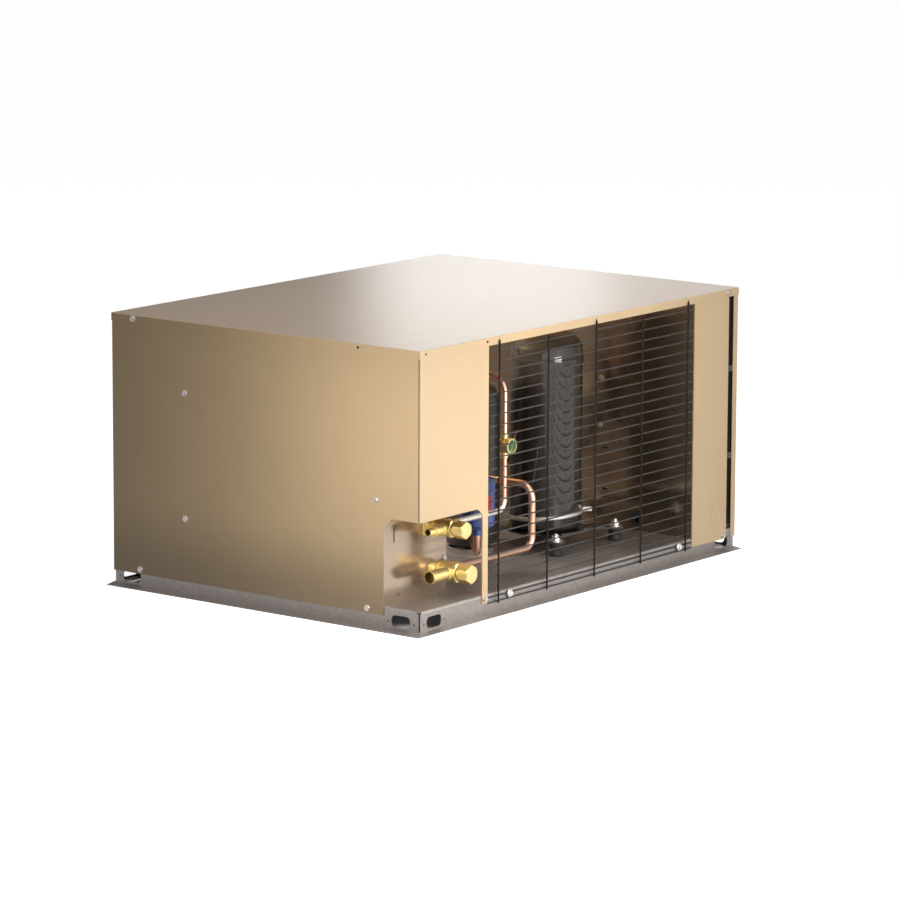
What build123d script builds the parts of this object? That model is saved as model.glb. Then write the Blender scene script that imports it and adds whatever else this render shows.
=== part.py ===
from build123d import *
import math
import os

# Outdoor refrigeration condensing unit.
# Cabinet coordinates are used throughout: x runs from the left end along the guard side,
# y runs from the guard side to the coil side, z is the height above the ground.
# The functions at(), front_plane(), side_plane() and floor_plane() move them into the
# part's frame, whose origin is the centre of the underside of the whole unit.

# ---------------------------------------------------------------- driving dimensions (mm)
LID_L = 940.0                 # top cover length along x
LID_D = 682.0                 # top cover depth along y
LID_TOP = 478.0               # height of the top cover above the ground
LID_FLANGE = 14.0             # turned-down edge of the top cover
SHEET = 1.2                   # casing sheet thickness
FIT = 0.3                     # clearance between sheets that come apart
BEND_R = 2.0                  # outside bend radius of pressed sheet

SKIRT_H = 36.0                # height of the base pan's skirt
LIP_FRONT = 24.0              # base lip in front of the skirt
LIP_LEFT = 33.0               # base lip to the left of the skirt
LIP_MITRE = 9.0               # slant of the far ends of the lips
LIP_RETURN = 20.0             # inward lip under the right and rear skirts
LIFT_SLOT_L = 40.0            # lifting slots in the skirt
LIFT_SLOT_H = 20.0
LIFT_SLOT_R = 8.0
LIFT_SLOT_AT = 42.5           # slot centre from each corner
LIFT_SLOT_Z = 14.0
SLOT_PIN_AT = 27.5            # small holes on both sides of a lifting slot
SLOT_PIN_R = 1.4

PANEL_BOTTOM = 21.0           # lower edge of the side panels
NOTCH_TOP = 187.5             # top of the valve recess cut-outs
NOTCH_DEPTH = 78.0            # valve recess depth behind the front
NOTCH_SLANT = 16.0
CORNER_W = 190.0              # width of the front corner panel
POST_W = 15.0                 # narrow post of the corner panel beside the recess
CORNER_GROOVE = 4.0           # groove between the corner panel and the left panel
CUTOUT_R = 20.0
SEAM_X = LID_L - 30.0         # open seam between right front panel and end panel
SEAM_W = 15.5
RIGHT_PANEL_X = SEAM_X - 108.0   # left edge of the right front panel
TAB_Z = (171.0, 331.0)        # end panel tabs that bridge the seam
TAB_H = 9.0
HEM = 12.0                    # small stiffening returns

PARTITION_X = RIGHT_PANEL_X - 2.0   # wall between compressor bay and electrical bay
COIL_Y = LID_D - 76.0         # front face of the condenser coil
SHROUD_Y = COIL_Y - 106.0     # fan wall
BACK_Y = SHROUD_Y + 60.0      # pipe run behind the fan wall
COIL_DEPTH = 44.0
COIL_LEFT = 30.0
COIL_RIGHT = LID_L - 43.0
COIL_TOP = LID_TOP - 12.0
FIN_PITCH = 15.0
TUBE_R = 4.8
TUBE_LEVELS = 8
TUBE_MARGIN = 20.0            # from the ends of the coil to its outermost tubes
COIL_PIPE_X = LID_L - 13.0    # pipes that rise beside the coil

FAN_X = 400.0                 # fan axis
FAN_Z = (SKIRT_H + LID_TOP) / 2 - 5.0
FAN_R = (LID_TOP - SKIRT_H) / 2 - 45.0   # blade tip radius
FAN_GAP = 7.0                 # tip clearance to the orifice
FAN_BLADES = 5
HUB_R = 42.0
FAN_SHAFT_R = 5.0
RUNNING_GAP = 0.05
MOTOR_R = 48.0
MOTOR_L = 78.0
MOTOR_Y = SHROUD_Y - 104.0    # front end of the fan motor

WIRE_V_R = 1.6                # guard: upright wires
WIRE_H_R = 1.3                # guard: cross wires
WIRE_V_COUNT = 5
WIRE_V_INSET = 26.0           # outer uprights, from the edges of the opening
WIRE_H_COUNT = 23
WIRE_H_FIRST = 47.0
WIRE_H_LAST = LID_TOP - LID_FLANGE - 10.0
WIRE_BOTTOM = 20.0
WIRE_WELD = 0.3               # how far crossed wires sink into each other

COMP_X = 615.0                # compressor axis
COMP_Y = 193.0
COMP_R = 65.0
COMP_TOP = LID_TOP - 58.0
COMP_STUB_X = 25.0            # discharge and suction stubs, from the axis
FOOT_T = 3.0
MOUNT_H = 24.0                # rubber mount height
MOUNT_R = 12.0
MOUNT_HALF = 90.0             # half the mount spacing
BOLT_R = 4.0
HEATER_Z = 90.0
HEATER_H = 8.0
HEATER_TILT = 4.0             # degrees
HEATER_EAR_TURN = -50.0       # where the heater band is clamped, in degrees

LIQ_X = 132.0                 # liquid service valve axis
LIQ_Z = 155.0
SUC_X = 148.0                 # suction service valve axis
SUC_Z = 76.5
STUB_Y = 43.5                 # field connections
PORT_Y = 64.0                 # unit side pipe ports
PLATE_Y = 79.0                # valve mounting plate
LIQ_PIPE_R = 4.76             # 3/8 inch tube
SUC_PIPE_R = 6.35             # 1/2 inch tube
PIPE_WALL = 0.9
BRAZE_GAP = 0.08
SOCKET_DEPTH = 8.0
LIQ_RISER_X = 319.0
SUC_RISER_X = 400.5
SUC_RUN_Z = 187.0
RETURN_Y = 330.0              # suction line behind the receiver

DRIER_Y = 122.0
DRIER_R = 31.0
DRIER_BOTTOM = 113.5
DRIER_TOP = 210.0
DRIER_NECK_R = 9.0
GLASS_Z = 268.0
GLASS_R = 14.0
RECEIVER_X = 458.0
RECEIVER_Y = 241.0
RECEIVER_R = 48.0
RECEIVER_TOP = LID_TOP - 136.0

SCREW_R = 2.0
SCREW_HOLE_R = 2.3
HEAD_R = 4.6
HEAD_H = 2.6
WASHER_R = 5.6
WASHER_H = 0.9
SCREW_L = 9.0

# ---------------------------------------------------------------- derived sizes
PANEL_IN = SHEET + FIT                       # outer face of the panels, from the lid edge
PANEL_BACK = PANEL_IN + SHEET                # inner face of the panels
SKIRT_IN = PANEL_BACK + FIT                  # outer face of the skirt
OVERHANG_X = LIP_LEFT - SKIRT_IN
OVERHANG_Y = LIP_FRONT - SKIRT_IN
SCREW_TOP = WASHER_H + HEAD_H
LEFT = OVERHANG_X - (LID_L - PANEL_IN + SCREW_TOP + OVERHANG_X) / 2
FRONT = OVERHANG_Y - (LID_D + SCREW_TOP + OVERHANG_Y) / 2
FLOOR = SKIRT_H
LID_UNDER = LID_TOP - SHEET
PANEL_TOP = LID_UNDER - FIT
FLANGE_BOTTOM = LID_TOP - LID_FLANGE
LID_SCREW_Z = LID_TOP - LID_FLANGE / 2 + 0.5
INNER_TOP = FLANGE_BOTTOM + 10.0
BASE_SCREW_Z = 29.0
END_TOP = FLANGE_BOTTOM - FIT
STRIP_X = SEAM_X + SEAM_W
END_OUT = LID_L - PANEL_IN
END_IN = LID_L - PANEL_BACK
LEVEL_STEP = (COIL_TOP - FLOOR - 2 * TUBE_MARGIN) / (TUBE_LEVELS - 1)
LEVELS = [FLOOR + TUBE_MARGIN + i * LEVEL_STEP for i in range(TUBE_LEVELS)]
HOT_PIPE = (COMP_X + COMP_STUB_X, LEVELS[-1])   # pipes through the fan wall, as (x, z)
COLD_PIPE = (548.0, 66.0)


def at(x, y, z):
    """A cabinet point in the part's frame."""
    return (LEFT + x, FRONT + y, z)


def front_plane(y):
    """Plane facing the guard side; its sketch coordinates are cabinet x and z."""
    return Plane(origin=at(0, y, 0), x_dir=(1, 0, 0), z_dir=(0, -1, 0))


def side_plane(x):
    """Plane facing the right end; its sketch coordinates are cabinet y and z."""
    return Plane(origin=at(x, 0, 0), x_dir=(0, 1, 0), z_dir=(1, 0, 0))


def floor_plane(z):
    """Level plane; its sketch coordinates are cabinet x and y."""
    return Plane(origin=at(0, 0, z), x_dir=(1, 0, 0), z_dir=(0, 0, 1))


def rectangle_between(a0, b0, a1, b1):
    """Sketch rectangle between two opposite corners."""
    with Locations(((a0 + a1) / 2, (b0 + b1) / 2)):
        Rectangle(a1 - a0, b1 - b0)


def polygon(*points):
    """Sketch face inside a closed polyline."""
    Polygon(*points, align=None)


def block(x0, y0, z0, x1, y1, z1, mode=Mode.ADD):
    """Square sheet or bar between two cabinet points."""
    with BuildSketch(floor_plane(z0)) as section:
        rectangle_between(x0, y0, x1, y1)
    extrude(section.sketch, amount=z1 - z0, mode=mode)


def turned(origin, direction, profile):
    """Turn (distance along, radius) points about a line through a cabinet point."""
    normal = (0, 0, 1) if direction[2] == 0 else (0, -1, 0)
    plane = Plane(origin=at(*origin), x_dir=direction, z_dir=normal)
    with BuildSketch(plane) as section:
        polygon(*profile)
    revolve(section.sketch, axis=Axis(plane.origin, direction))


def tube(points, radii, outer_r, wall=PIPE_WALL):
    """Bent pipe along cabinet points, with one bend radius for each inner corner."""
    route = [at(*p) for p in points]
    with BuildLine() as path:
        if len(route) > 2:
            FilletPolyline(*route, radius=radii)
        else:
            Line(*route)
    with BuildSketch(Plane(origin=path.line @ 0, z_dir=path.line % 0)) as section:
        Circle(outer_r)
        Circle(outer_r - wall, mode=Mode.SUBTRACT)
    sweep(section.sketch, path=path.line)


def screw_on(plane, length=SCREW_L):
    """Hexagon screw with a flange, its head standing on the plane."""
    with BuildSketch(plane) as washer:
        Circle(WASHER_R)
    extrude(washer.sketch, amount=WASHER_H)
    with BuildSketch(plane.offset(WASHER_H)) as head:
        RegularPolygon(HEAD_R, 6)
    extrude(head.sketch, amount=HEAD_H)
    with BuildSketch(plane) as shank:
        Circle(SCREW_R)
    extrude(shank.sketch, amount=-length)


def front_at(x, y, z):
    return Plane(origin=at(x, y, z), x_dir=(1, 0, 0), z_dir=(0, -1, 0))


def rear_at(x, y, z):
    return Plane(origin=at(x, y, z), x_dir=(-1, 0, 0), z_dir=(0, 1, 0))


def left_at(x, y, z):
    return Plane(origin=at(x, y, z), x_dir=(0, -1, 0), z_dir=(-1, 0, 0))


def right_at(x, y, z):
    return Plane(origin=at(x, y, z), x_dir=(0, 1, 0), z_dir=(1, 0, 0))


def drill(plane, radius=SCREW_HOLE_R, depth=3 * SHEET):
    """Round hole through the sheets at both sides of a plane."""
    with BuildSketch(plane) as hole:
        Circle(radius)
    extrude(hole.sketch, amount=depth, both=True, mode=Mode.SUBTRACT)


def open_slot(plane):
    """Hole for a cover screw that is open to the top edge of its panel."""
    with BuildSketch(plane) as slot:
        Circle(SCREW_HOLE_R)
        with Locations((0, LID_FLANGE / 2)):
            Rectangle(2 * SCREW_HOLE_R, LID_FLANGE)
    extrude(slot.sketch, amount=3 * SHEET, both=True, mode=Mode.SUBTRACT)


os.makedirs("parts", exist_ok=True)


def save(part, name):
    part.label = name
    export_step(part, f"parts/{name}.step")


# ---------------------------------------------------------------- screw places
WALL_SCREWS = [(SHROUD_Y + HEM + 3, 353.0), (SHROUD_Y + HEM + 3, 132.0)]
LEFT_PANEL_SCREWS = WALL_SCREWS + [(96.0, 216.0)]
SIDE_BASE_SCREWS = [(LID_D - 63.0, BASE_SCREW_Z), (113.0, BASE_SCREW_Z)]
POST_SCREW = (CORNER_W - POST_W / 2, BASE_SCREW_Z)
RIGHT_PANEL_SCREW = (SEAM_X - 9.0, BASE_SCREW_Z - 3)
GUARD_SCREWS = [(CORNER_W + 60.0, BASE_SCREW_Z - 1), (RIGHT_PANEL_X - 45.0, BASE_SCREW_Z - 1)]
REAR_SCREWS = [(x, BASE_SCREW_Z) for x in (60.0, LID_L / 2, LID_L - 60.0)]
PARTITION_SCREWS = [(204.0, 309.0), (206.0, 222.0)]
PLATE_SCREW = (168.0, 93.0)
LID_LEFT_SCREW_Y = LID_D - 51.0
LID_LEFT_HOLE_Y = 132.6
LID_FRONT_SCREW_X = LID_L - 34.0
LID_FRONT_HOLES_X = (14.4, CORNER_W - 6.0)
LID_REAR_SCREWS_X = (32.0, LID_L - 34.0)
MOUNTS = [(COMP_X + i * MOUNT_HALF, COMP_Y + j * MOUNT_HALF) for i in (-1, 1) for j in (-1, 1)]
SKIRT_R = LID_L - SKIRT_IN
SKIRT_B = LID_D - SKIRT_IN

# ---------------------------------------------------------------- base pan
CORNER_SLIT = 1.6
RELIEF_W = 6.0
RELIEF_H = 2.8
with BuildPart() as base_pan:
    block(SKIRT_IN, SKIRT_IN, 0, SKIRT_R, SKIRT_B, SKIRT_H)
    fillet(base_pan.faces().sort_by(Axis.Z)[-1].edges(), radius=BEND_R)
    block(SKIRT_IN + SHEET, SKIRT_IN + SHEET, 0, SKIRT_R - SHEET, SKIRT_B - SHEET,
          SKIRT_H - SHEET, mode=Mode.SUBTRACT)
    # outward lip along the front and the left side, with slanted far ends
    with BuildSketch(floor_plane(0)):
        polygon((SKIRT_IN - LIP_LEFT + 2, SKIRT_IN - LIP_FRONT),
                (SKIRT_R - LIP_MITRE, SKIRT_IN - LIP_FRONT),
                (SKIRT_R, SKIRT_IN),
                (SKIRT_R, SKIRT_IN + SHEET),
                (SKIRT_IN + SHEET, SKIRT_IN + SHEET),
                (SKIRT_IN + SHEET, SKIRT_B),
                (SKIRT_IN, SKIRT_B),
                (SKIRT_IN - LIP_LEFT, SKIRT_B - LIP_MITRE),
                (SKIRT_IN - LIP_LEFT, SKIRT_IN - LIP_FRONT + 2))
    extrude(amount=SHEET)
    # inward lip along the right and rear sides
    with BuildSketch(floor_plane(0)):
        polygon((SKIRT_R, SKIRT_IN + SHEET), (SKIRT_R, SKIRT_B), (SKIRT_IN + SHEET, SKIRT_B),
                (SKIRT_IN + LIP_RETURN, SKIRT_B - LIP_RETURN),
                (SKIRT_R - LIP_RETURN, SKIRT_B - LIP_RETURN),
                (SKIRT_R - LIP_RETURN, SKIRT_IN + LIP_RETURN))
    extrude(amount=SHEET)
    # open corner seams with their relief notches under the floor sheet
    for cx in (SKIRT_IN, SKIRT_R):
        for cy in (SKIRT_IN, SKIRT_B):
            block(cx - CORNER_SLIT, cy - CORNER_SLIT, SHEET, cx + CORNER_SLIT, cy + CORNER_SLIT,
                  SKIRT_H - SHEET, mode=Mode.SUBTRACT)
            block(cx - RELIEF_W, cy - RELIEF_W, SKIRT_H - SHEET - RELIEF_H, cx + RELIEF_W,
                  cy + RELIEF_W, SKIRT_H - SHEET, mode=Mode.SUBTRACT)
    # lifting slots near every corner, each with two small holes
    for y in (SKIRT_IN, SKIRT_B):
        for x, toward in ((LIFT_SLOT_AT, 1), (LID_L - LIFT_SLOT_AT, -1)):
            with BuildSketch(front_plane(y)):
                with Locations((x, LIFT_SLOT_Z)):
                    RectangleRounded(LIFT_SLOT_L, LIFT_SLOT_H, LIFT_SLOT_R)
                with Locations((x - SLOT_PIN_AT, LIFT_SLOT_Z - 1.5),
                               (x + SLOT_PIN_AT, LIFT_SLOT_Z - 1.5)):
                    Circle(SLOT_PIN_R)
            extrude(amount=2 * SHEET, both=True, mode=Mode.SUBTRACT)
    for x in (SKIRT_IN, SKIRT_R):
        for y in (LIFT_SLOT_AT, LID_D - LIFT_SLOT_AT):
            with BuildSketch(side_plane(x)):
                with Locations((y, LIFT_SLOT_Z)):
                    RectangleRounded(LIFT_SLOT_L, LIFT_SLOT_H, LIFT_SLOT_R)
                with Locations((y - SLOT_PIN_AT, LIFT_SLOT_Z - 1.5),
                               (y + SLOT_PIN_AT, LIFT_SLOT_Z - 1.5)):
                    Circle(SLOT_PIN_R)
            extrude(amount=2 * SHEET, both=True, mode=Mode.SUBTRACT)
    # screw holes in the skirt and bolt holes in the floor
    for y, z in SIDE_BASE_SCREWS:
        drill(left_at(SKIRT_IN, y, z))
        drill(right_at(SKIRT_R, y, z))
    for x, z in GUARD_SCREWS + [POST_SCREW, RIGHT_PANEL_SCREW]:
        drill(front_at(x, SKIRT_IN, z))
    for x, z in REAR_SCREWS:
        drill(rear_at(x, SKIRT_B, z))
    for x, y in MOUNTS:
        with BuildSketch(floor_plane(SKIRT_H)):
            with Locations((x, y)):
                Circle(BOLT_R + 0.4)
        extrude(amount=-3 * SHEET, mode=Mode.SUBTRACT)
save(base_pan.part, "base_pan")

# ---------------------------------------------------------------- top cover
with BuildPart() as top_cover:
    block(0, 0, FLANGE_BOTTOM, LID_L, LID_D, LID_TOP)
    fillet(top_cover.edges().filter_by(Axis.Z), radius=BEND_R)
    fillet(top_cover.faces().sort_by(Axis.Z)[-1].edges(), radius=BEND_R * 0.75)
    block(SHEET, SHEET, FLANGE_BOTTOM, LID_L - SHEET, LID_D - SHEET, LID_UNDER,
          mode=Mode.SUBTRACT)
    for y in (LID_LEFT_SCREW_Y, LID_LEFT_HOLE_Y):
        drill(left_at(0, y, LID_SCREW_Z))
    for x in (LID_FRONT_SCREW_X,) + LID_FRONT_HOLES_X:
        drill(front_at(x, 0, LID_SCREW_Z))
    for x in LID_REAR_SCREWS_X:
        drill(rear_at(x, LID_D, LID_SCREW_Z))
save(top_cover.part, "top_cover")

# ---------------------------------------------------------------- left panel
with BuildPart() as left_panel:
    with BuildSketch(side_plane(PANEL_IN)):
        polygon((NOTCH_DEPTH, PANEL_BOTTOM), (LID_D - PANEL_IN, PANEL_BOTTOM),
                (LID_D - PANEL_IN, PANEL_TOP), (PANEL_IN + CORNER_GROOVE, PANEL_TOP),
                (PANEL_IN + CORNER_GROOVE, NOTCH_TOP),
                (NOTCH_DEPTH - NOTCH_SLANT, NOTCH_TOP),
                (NOTCH_DEPTH, NOTCH_TOP - NOTCH_SLANT - 2))
    extrude(amount=SHEET)
    for y, z in LEFT_PANEL_SCREWS + SIDE_BASE_SCREWS:
        drill(left_at(PANEL_IN, y, z))
    open_slot(left_at(PANEL_IN, LID_LEFT_SCREW_Y, LID_SCREW_Z))
save(left_panel.part, "left_panel")

# ---------------------------------------------------------------- front corner panel
with BuildPart() as corner_panel:
    with BuildSketch(front_plane(PANEL_IN)):
        rectangle_between(PANEL_IN, PANEL_BOTTOM, CORNER_W, PANEL_TOP)
    extrude(amount=-SHEET)
    with BuildSketch(front_plane(PANEL_IN)):
        rectangle_between(0, 0, CORNER_W - POST_W, NOTCH_TOP)
    extrude(amount=-SHEET, mode=Mode.SUBTRACT)
    inner = corner_panel.edges().filter_by(Axis.Y).sort_by_distance(
        at(CORNER_W - POST_W, PANEL_IN, NOTCH_TOP))[0]
    fillet(inner, radius=CUTOUT_R)
    # returns behind the left panel and beside the guard opening
    block(SKIRT_IN, PANEL_BACK, NOTCH_TOP + 2, SKIRT_IN + SHEET, PANEL_BACK + HEM, INNER_TOP)
    block(CORNER_W - SHEET, PANEL_BACK, FLOOR + FIT, CORNER_W, PANEL_BACK + HEM, INNER_TOP)
    drill(front_at(POST_SCREW[0], PANEL_IN, POST_SCREW[1]))
    for x in LID_FRONT_HOLES_X:
        drill(front_at(x, PANEL_IN, LID_SCREW_Z), radius=1.6, depth=SHEET)
save(corner_panel.part, "corner_panel")

# ---------------------------------------------------------------- valve mounting plate
PLATE_RIGHT = 175.0
PLATE_TOP = 236.0
VALVE_FEET = [(LIQ_X, LIQ_Z), (SUC_X, SUC_Z)]
FOOT_HOLE_X = -19.0
FOOT_HOLE_Z = 7.0
with BuildPart() as valve_plate:
    block(SKIRT_IN, PLATE_Y, FLOOR, PLATE_RIGHT, PLATE_Y + SHEET, PLATE_TOP)
    block(SKIRT_IN, PLATE_Y + SHEET, FLOOR, SKIRT_IN + SHEET, PLATE_Y + 30, PLATE_TOP)
    block(PLATE_RIGHT - SHEET, PLATE_Y + SHEET, FLOOR, PLATE_RIGHT, PLATE_Y + HEM, PLATE_TOP)
    block(SKIRT_IN + 2, PLATE_Y + SHEET, FLOOR, PLATE_RIGHT - 3, PLATE_Y + HEM, FLOOR + SHEET)
    with BuildSketch(front_plane(PLATE_Y)):
        with Locations((30.0, 153.0)):
            SlotOverall(25.0, 4.5, rotation=90)
        with Locations((41.5, 177.0), (42.0, 50.0)):
            Circle(1.9)
    extrude(amount=-2 * SHEET, mode=Mode.SUBTRACT)
    for x, z in VALVE_FEET:
        for side in (1, -1):
            drill(front_at(x + FOOT_HOLE_X, PLATE_Y, z + side * FOOT_HOLE_Z), radius=1.8)
    drill(front_at(PLATE_SCREW[0], PLATE_Y, PLATE_SCREW[1]))
    drill(left_at(SKIRT_IN, *LEFT_PANEL_SCREWS[2]))
save(valve_plate.part, "valve_plate")

# ---------------------------------------------------------------- right front panel
KNOCKOUT = (SEAM_X - 33.5, 62.5)
KNOCKOUT_R = 14.5
DIMPLES = [(SEAM_X - 33.0, 80.0), (SEAM_X - 17.5, 44.5), (RIGHT_PANEL_X + 20.0, 70.0)]
DIMPLE_R = 2.5
with BuildPart() as right_front_panel:
    block(RIGHT_PANEL_X, PANEL_IN, PANEL_BOTTOM - 1, SEAM_X, PANEL_BACK, PANEL_TOP)
    block(RIGHT_PANEL_X, PANEL_BACK, FLOOR + SHEET + FIT, RIGHT_PANEL_X + SHEET,
          PANEL_BACK + HEM, INNER_TOP)
    # half-cut disc that can be knocked out for a conduit
    with BuildSketch(front_plane(PANEL_IN)):
        with Locations(KNOCKOUT):
            Circle(KNOCKOUT_R)
            Circle(KNOCKOUT_R - 0.8, mode=Mode.SUBTRACT)
    extrude(amount=-SHEET / 2, mode=Mode.SUBTRACT)
    # shallow weld dimples of the conduit plate behind the panel
    with BuildSketch(front_plane(PANEL_IN)):
        with Locations(*DIMPLES):
            Circle(DIMPLE_R)
    extrude(amount=-SHEET / 4, taper=30, mode=Mode.SUBTRACT)
    drill(front_at(RIGHT_PANEL_SCREW[0], PANEL_IN, RIGHT_PANEL_SCREW[1]))
    open_slot(front_at(LID_FRONT_SCREW_X, PANEL_IN, LID_SCREW_Z))
save(right_front_panel.part, "right_front_panel")

# ---------------------------------------------------------------- right end access panel
TAB_BACK = PANEL_BACK + FIT + SHEET
with BuildPart() as end_panel:
    block(END_IN, PANEL_IN, PANEL_BOTTOM - 1, END_OUT, LID_D - PANEL_IN, END_TOP)
    block(STRIP_X, PANEL_IN, PANEL_BOTTOM - 1, END_IN, PANEL_BACK, END_TOP)
    block(STRIP_X, LID_D - PANEL_BACK, PANEL_BOTTOM - 1, END_IN, LID_D - PANEL_IN, END_TOP)
    # tabs that bridge the seam and tuck behind the right front panel
    for z in TAB_Z:
        block(SEAM_X - 7, PANEL_BACK + FIT, z - TAB_H / 2, STRIP_X + 3, TAB_BACK, z + TAB_H / 2)
        block(STRIP_X, PANEL_IN, z - TAB_H / 2, STRIP_X + 3, TAB_BACK, z + TAB_H / 2)
    for y, z in WALL_SCREWS + SIDE_BASE_SCREWS:
        drill(right_at(END_OUT, y, z))
save(end_panel.part, "end_panel")

# ---------------------------------------------------------------- rear frame round the coil
REAR_WINDOW = (COIL_LEFT + 14.0, FLOOR + 24.0, COIL_RIGHT - 13.0, COIL_TOP - 26.0)
REAR_RIGHT = STRIP_X - 2
with BuildPart() as rear_frame:
    with BuildSketch(front_plane(LID_D - PANEL_BACK)):
        rectangle_between(SKIRT_IN, PANEL_BOTTOM, REAR_RIGHT, PANEL_TOP)
    extrude(amount=-SHEET)
    x0, z0, x1, z1 = REAR_WINDOW
    with BuildSketch(front_plane(LID_D - PANEL_BACK)):
        with Locations(((x0 + x1) / 2, (z0 + z1) / 2)):
            RectangleRounded(x1 - x0, z1 - z0, 8)
    extrude(amount=-SHEET, mode=Mode.SUBTRACT)
    block(SKIRT_IN, LID_D - PANEL_BACK - HEM, FLOOR + FIT, SKIRT_IN + SHEET,
          LID_D - PANEL_BACK, INNER_TOP)
    for x, z in REAR_SCREWS:
        drill(rear_at(x, LID_D - PANEL_IN, z))
    for x in LID_REAR_SCREWS_X:
        open_slot(Plane(origin=at(x, LID_D - PANEL_IN, LID_SCREW_Z), x_dir=(1, 0, 0),
                        z_dir=(0, -1, 0)))
save(rear_frame.part, "rear_frame")

# ---------------------------------------------------------------- partition wall
GROMMET = (122.0, 57.0)
GROMMET_R = 10.0
with BuildPart() as partition:
    block(PARTITION_X, PANEL_BACK + FIT, FLOOR, PARTITION_X + SHEET, SHROUD_Y, INNER_TOP)
    block(PARTITION_X + SHEET, PANEL_BACK + FIT, FLOOR, PARTITION_X + HEM, SHROUD_Y,
          FLOOR + SHEET)
    with BuildSketch(side_plane(PARTITION_X)):
        with Locations((196.0, 181.0), (195.0, 105.0)):
            SlotOverall(12.0, 3.0)
        with Locations((160.0, 192.0), (141.0, 183.0), (43.0, 77.0)):
            Circle(2.2)
        with Locations(GROMMET):
            Circle(GROMMET_R)
    extrude(amount=2 * SHEET, mode=Mode.SUBTRACT)
    for y, z in PARTITION_SCREWS:
        drill(left_at(PARTITION_X, y, z))
save(partition.part, "partition")

with BuildPart() as cable_grommet:
    lip = GROMMET_R + 3
    neck = GROMMET_R - 0.1
    bore = GROMMET_R - 4
    turned((PARTITION_X, *GROMMET), (1, 0, 0),
           [(-2.5, bore), (-2.5, lip), (-0.1, lip), (-0.1, neck), (SHEET + 0.1, neck),
            (SHEET + 0.1, lip), (SHEET + 2.5, lip), (SHEET + 2.5, bore)])
save(cable_grommet.part, "cable_grommet")

# ---------------------------------------------------------------- fan wall with its orifice
ORIFICE_R = FAN_R + FAN_GAP
BELL_R = 12.0
PASS_R = 11.0
with BuildPart() as fan_shroud:
    block(SKIRT_IN, SHROUD_Y, FLOOR, SKIRT_R, SHROUD_Y + SHEET, INNER_TOP)
    block(SKIRT_IN, SHROUD_Y + SHEET, FLOOR, SKIRT_IN + SHEET, COIL_Y - 2, INNER_TOP)
    block(SKIRT_R - SHEET, SHROUD_Y + SHEET, FLOOR, SKIRT_R, COIL_Y - 2, INNER_TOP)
    block(SKIRT_IN, SHROUD_Y + SHEET, INNER_TOP - SHEET, SKIRT_R, COIL_Y - 2, INNER_TOP)
    block(SKIRT_IN + 5, SHROUD_Y + SHEET, FLOOR, SKIRT_R - 5, SHROUD_Y + HEM, FLOOR + SHEET)
    # rounded bell mouth that leads the air forward
    with BuildSketch(Plane(origin=at(FAN_X, SHROUD_Y, FAN_Z), x_dir=(1, 0, 0),
                           z_dir=(0, 0, 1))):
        with BuildLine():
            l1 = Line((ORIFICE_R, -22), (ORIFICE_R, 0))
            l2 = CenterArc((ORIFICE_R + BELL_R, 0), BELL_R, 90, 90)
            l3 = Line(l2 @ 0, (ORIFICE_R + BELL_R, BELL_R - SHEET))
            l4 = CenterArc((ORIFICE_R + BELL_R, 0), BELL_R - SHEET, 90, 90)
            l5 = Line(l4 @ 1, (ORIFICE_R + SHEET, -22))
            l6 = Line(l5 @ 1, l1 @ 0)
        make_face()
    revolve(axis=Axis(at(FAN_X, SHROUD_Y, FAN_Z), (0, 1, 0)))
    with BuildSketch(front_plane(SHROUD_Y - 40)):
        with Locations((FAN_X, FAN_Z)):
            Circle(ORIFICE_R)
    extrude(amount=-80, mode=Mode.SUBTRACT)
    for place in (HOT_PIPE, COLD_PIPE):
        drill(front_at(place[0], SHROUD_Y, place[1]), radius=PASS_R)
    for y, z in WALL_SCREWS:
        drill(left_at(SKIRT_IN, y, z))
        drill(right_at(SKIRT_R, y, z))
save(fan_shroud.part, "fan_shroud")

with BuildPart() as pipe_grommets:
    for x, z in (HOT_PIPE, COLD_PIPE):
        turned((x, SHROUD_Y, z), (0, 1, 0),
               [(-2.5, LIQ_PIPE_R + 0.3), (-2.5, PASS_R + 3), (-0.1, PASS_R + 3),
                (-0.1, PASS_R - 0.1), (SHEET + 0.1, PASS_R - 0.1), (SHEET + 0.1, PASS_R + 3),
                (SHEET + 2.5, PASS_R + 3), (SHEET + 2.5, LIQ_PIPE_R + 0.3)])
save(pipe_grommets.part, "pipe_grommets")

# ---------------------------------------------------------------- condenser coil
TUBE_Y = (COIL_Y + 11.0, COIL_Y + 33.0)
END_T = 1.5
with BuildPart() as coil_fins:
    block(COIL_LEFT + END_T, COIL_Y + 2, FLOOR + 4, COIL_RIGHT - END_T, COIL_Y + COIL_DEPTH,
          COIL_TOP)
    fin_count = int((COIL_RIGHT - COIL_LEFT) / FIN_PITCH) - 1
    middle = (COIL_LEFT + COIL_RIGHT) / 2
    for y in (COIL_Y + 2, COIL_Y + COIL_DEPTH - 6):
        with BuildSketch(front_plane(y)):
            with Locations((middle, (FLOOR + 4 + COIL_TOP) / 2)):
                with GridLocations(FIN_PITCH, 1, fin_count, 1):
                    Rectangle(FIN_PITCH / 2, COIL_TOP - FLOOR - 4)
        extrude(amount=-6, mode=Mode.SUBTRACT)
save(coil_fins.part, "coil_fins")

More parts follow.
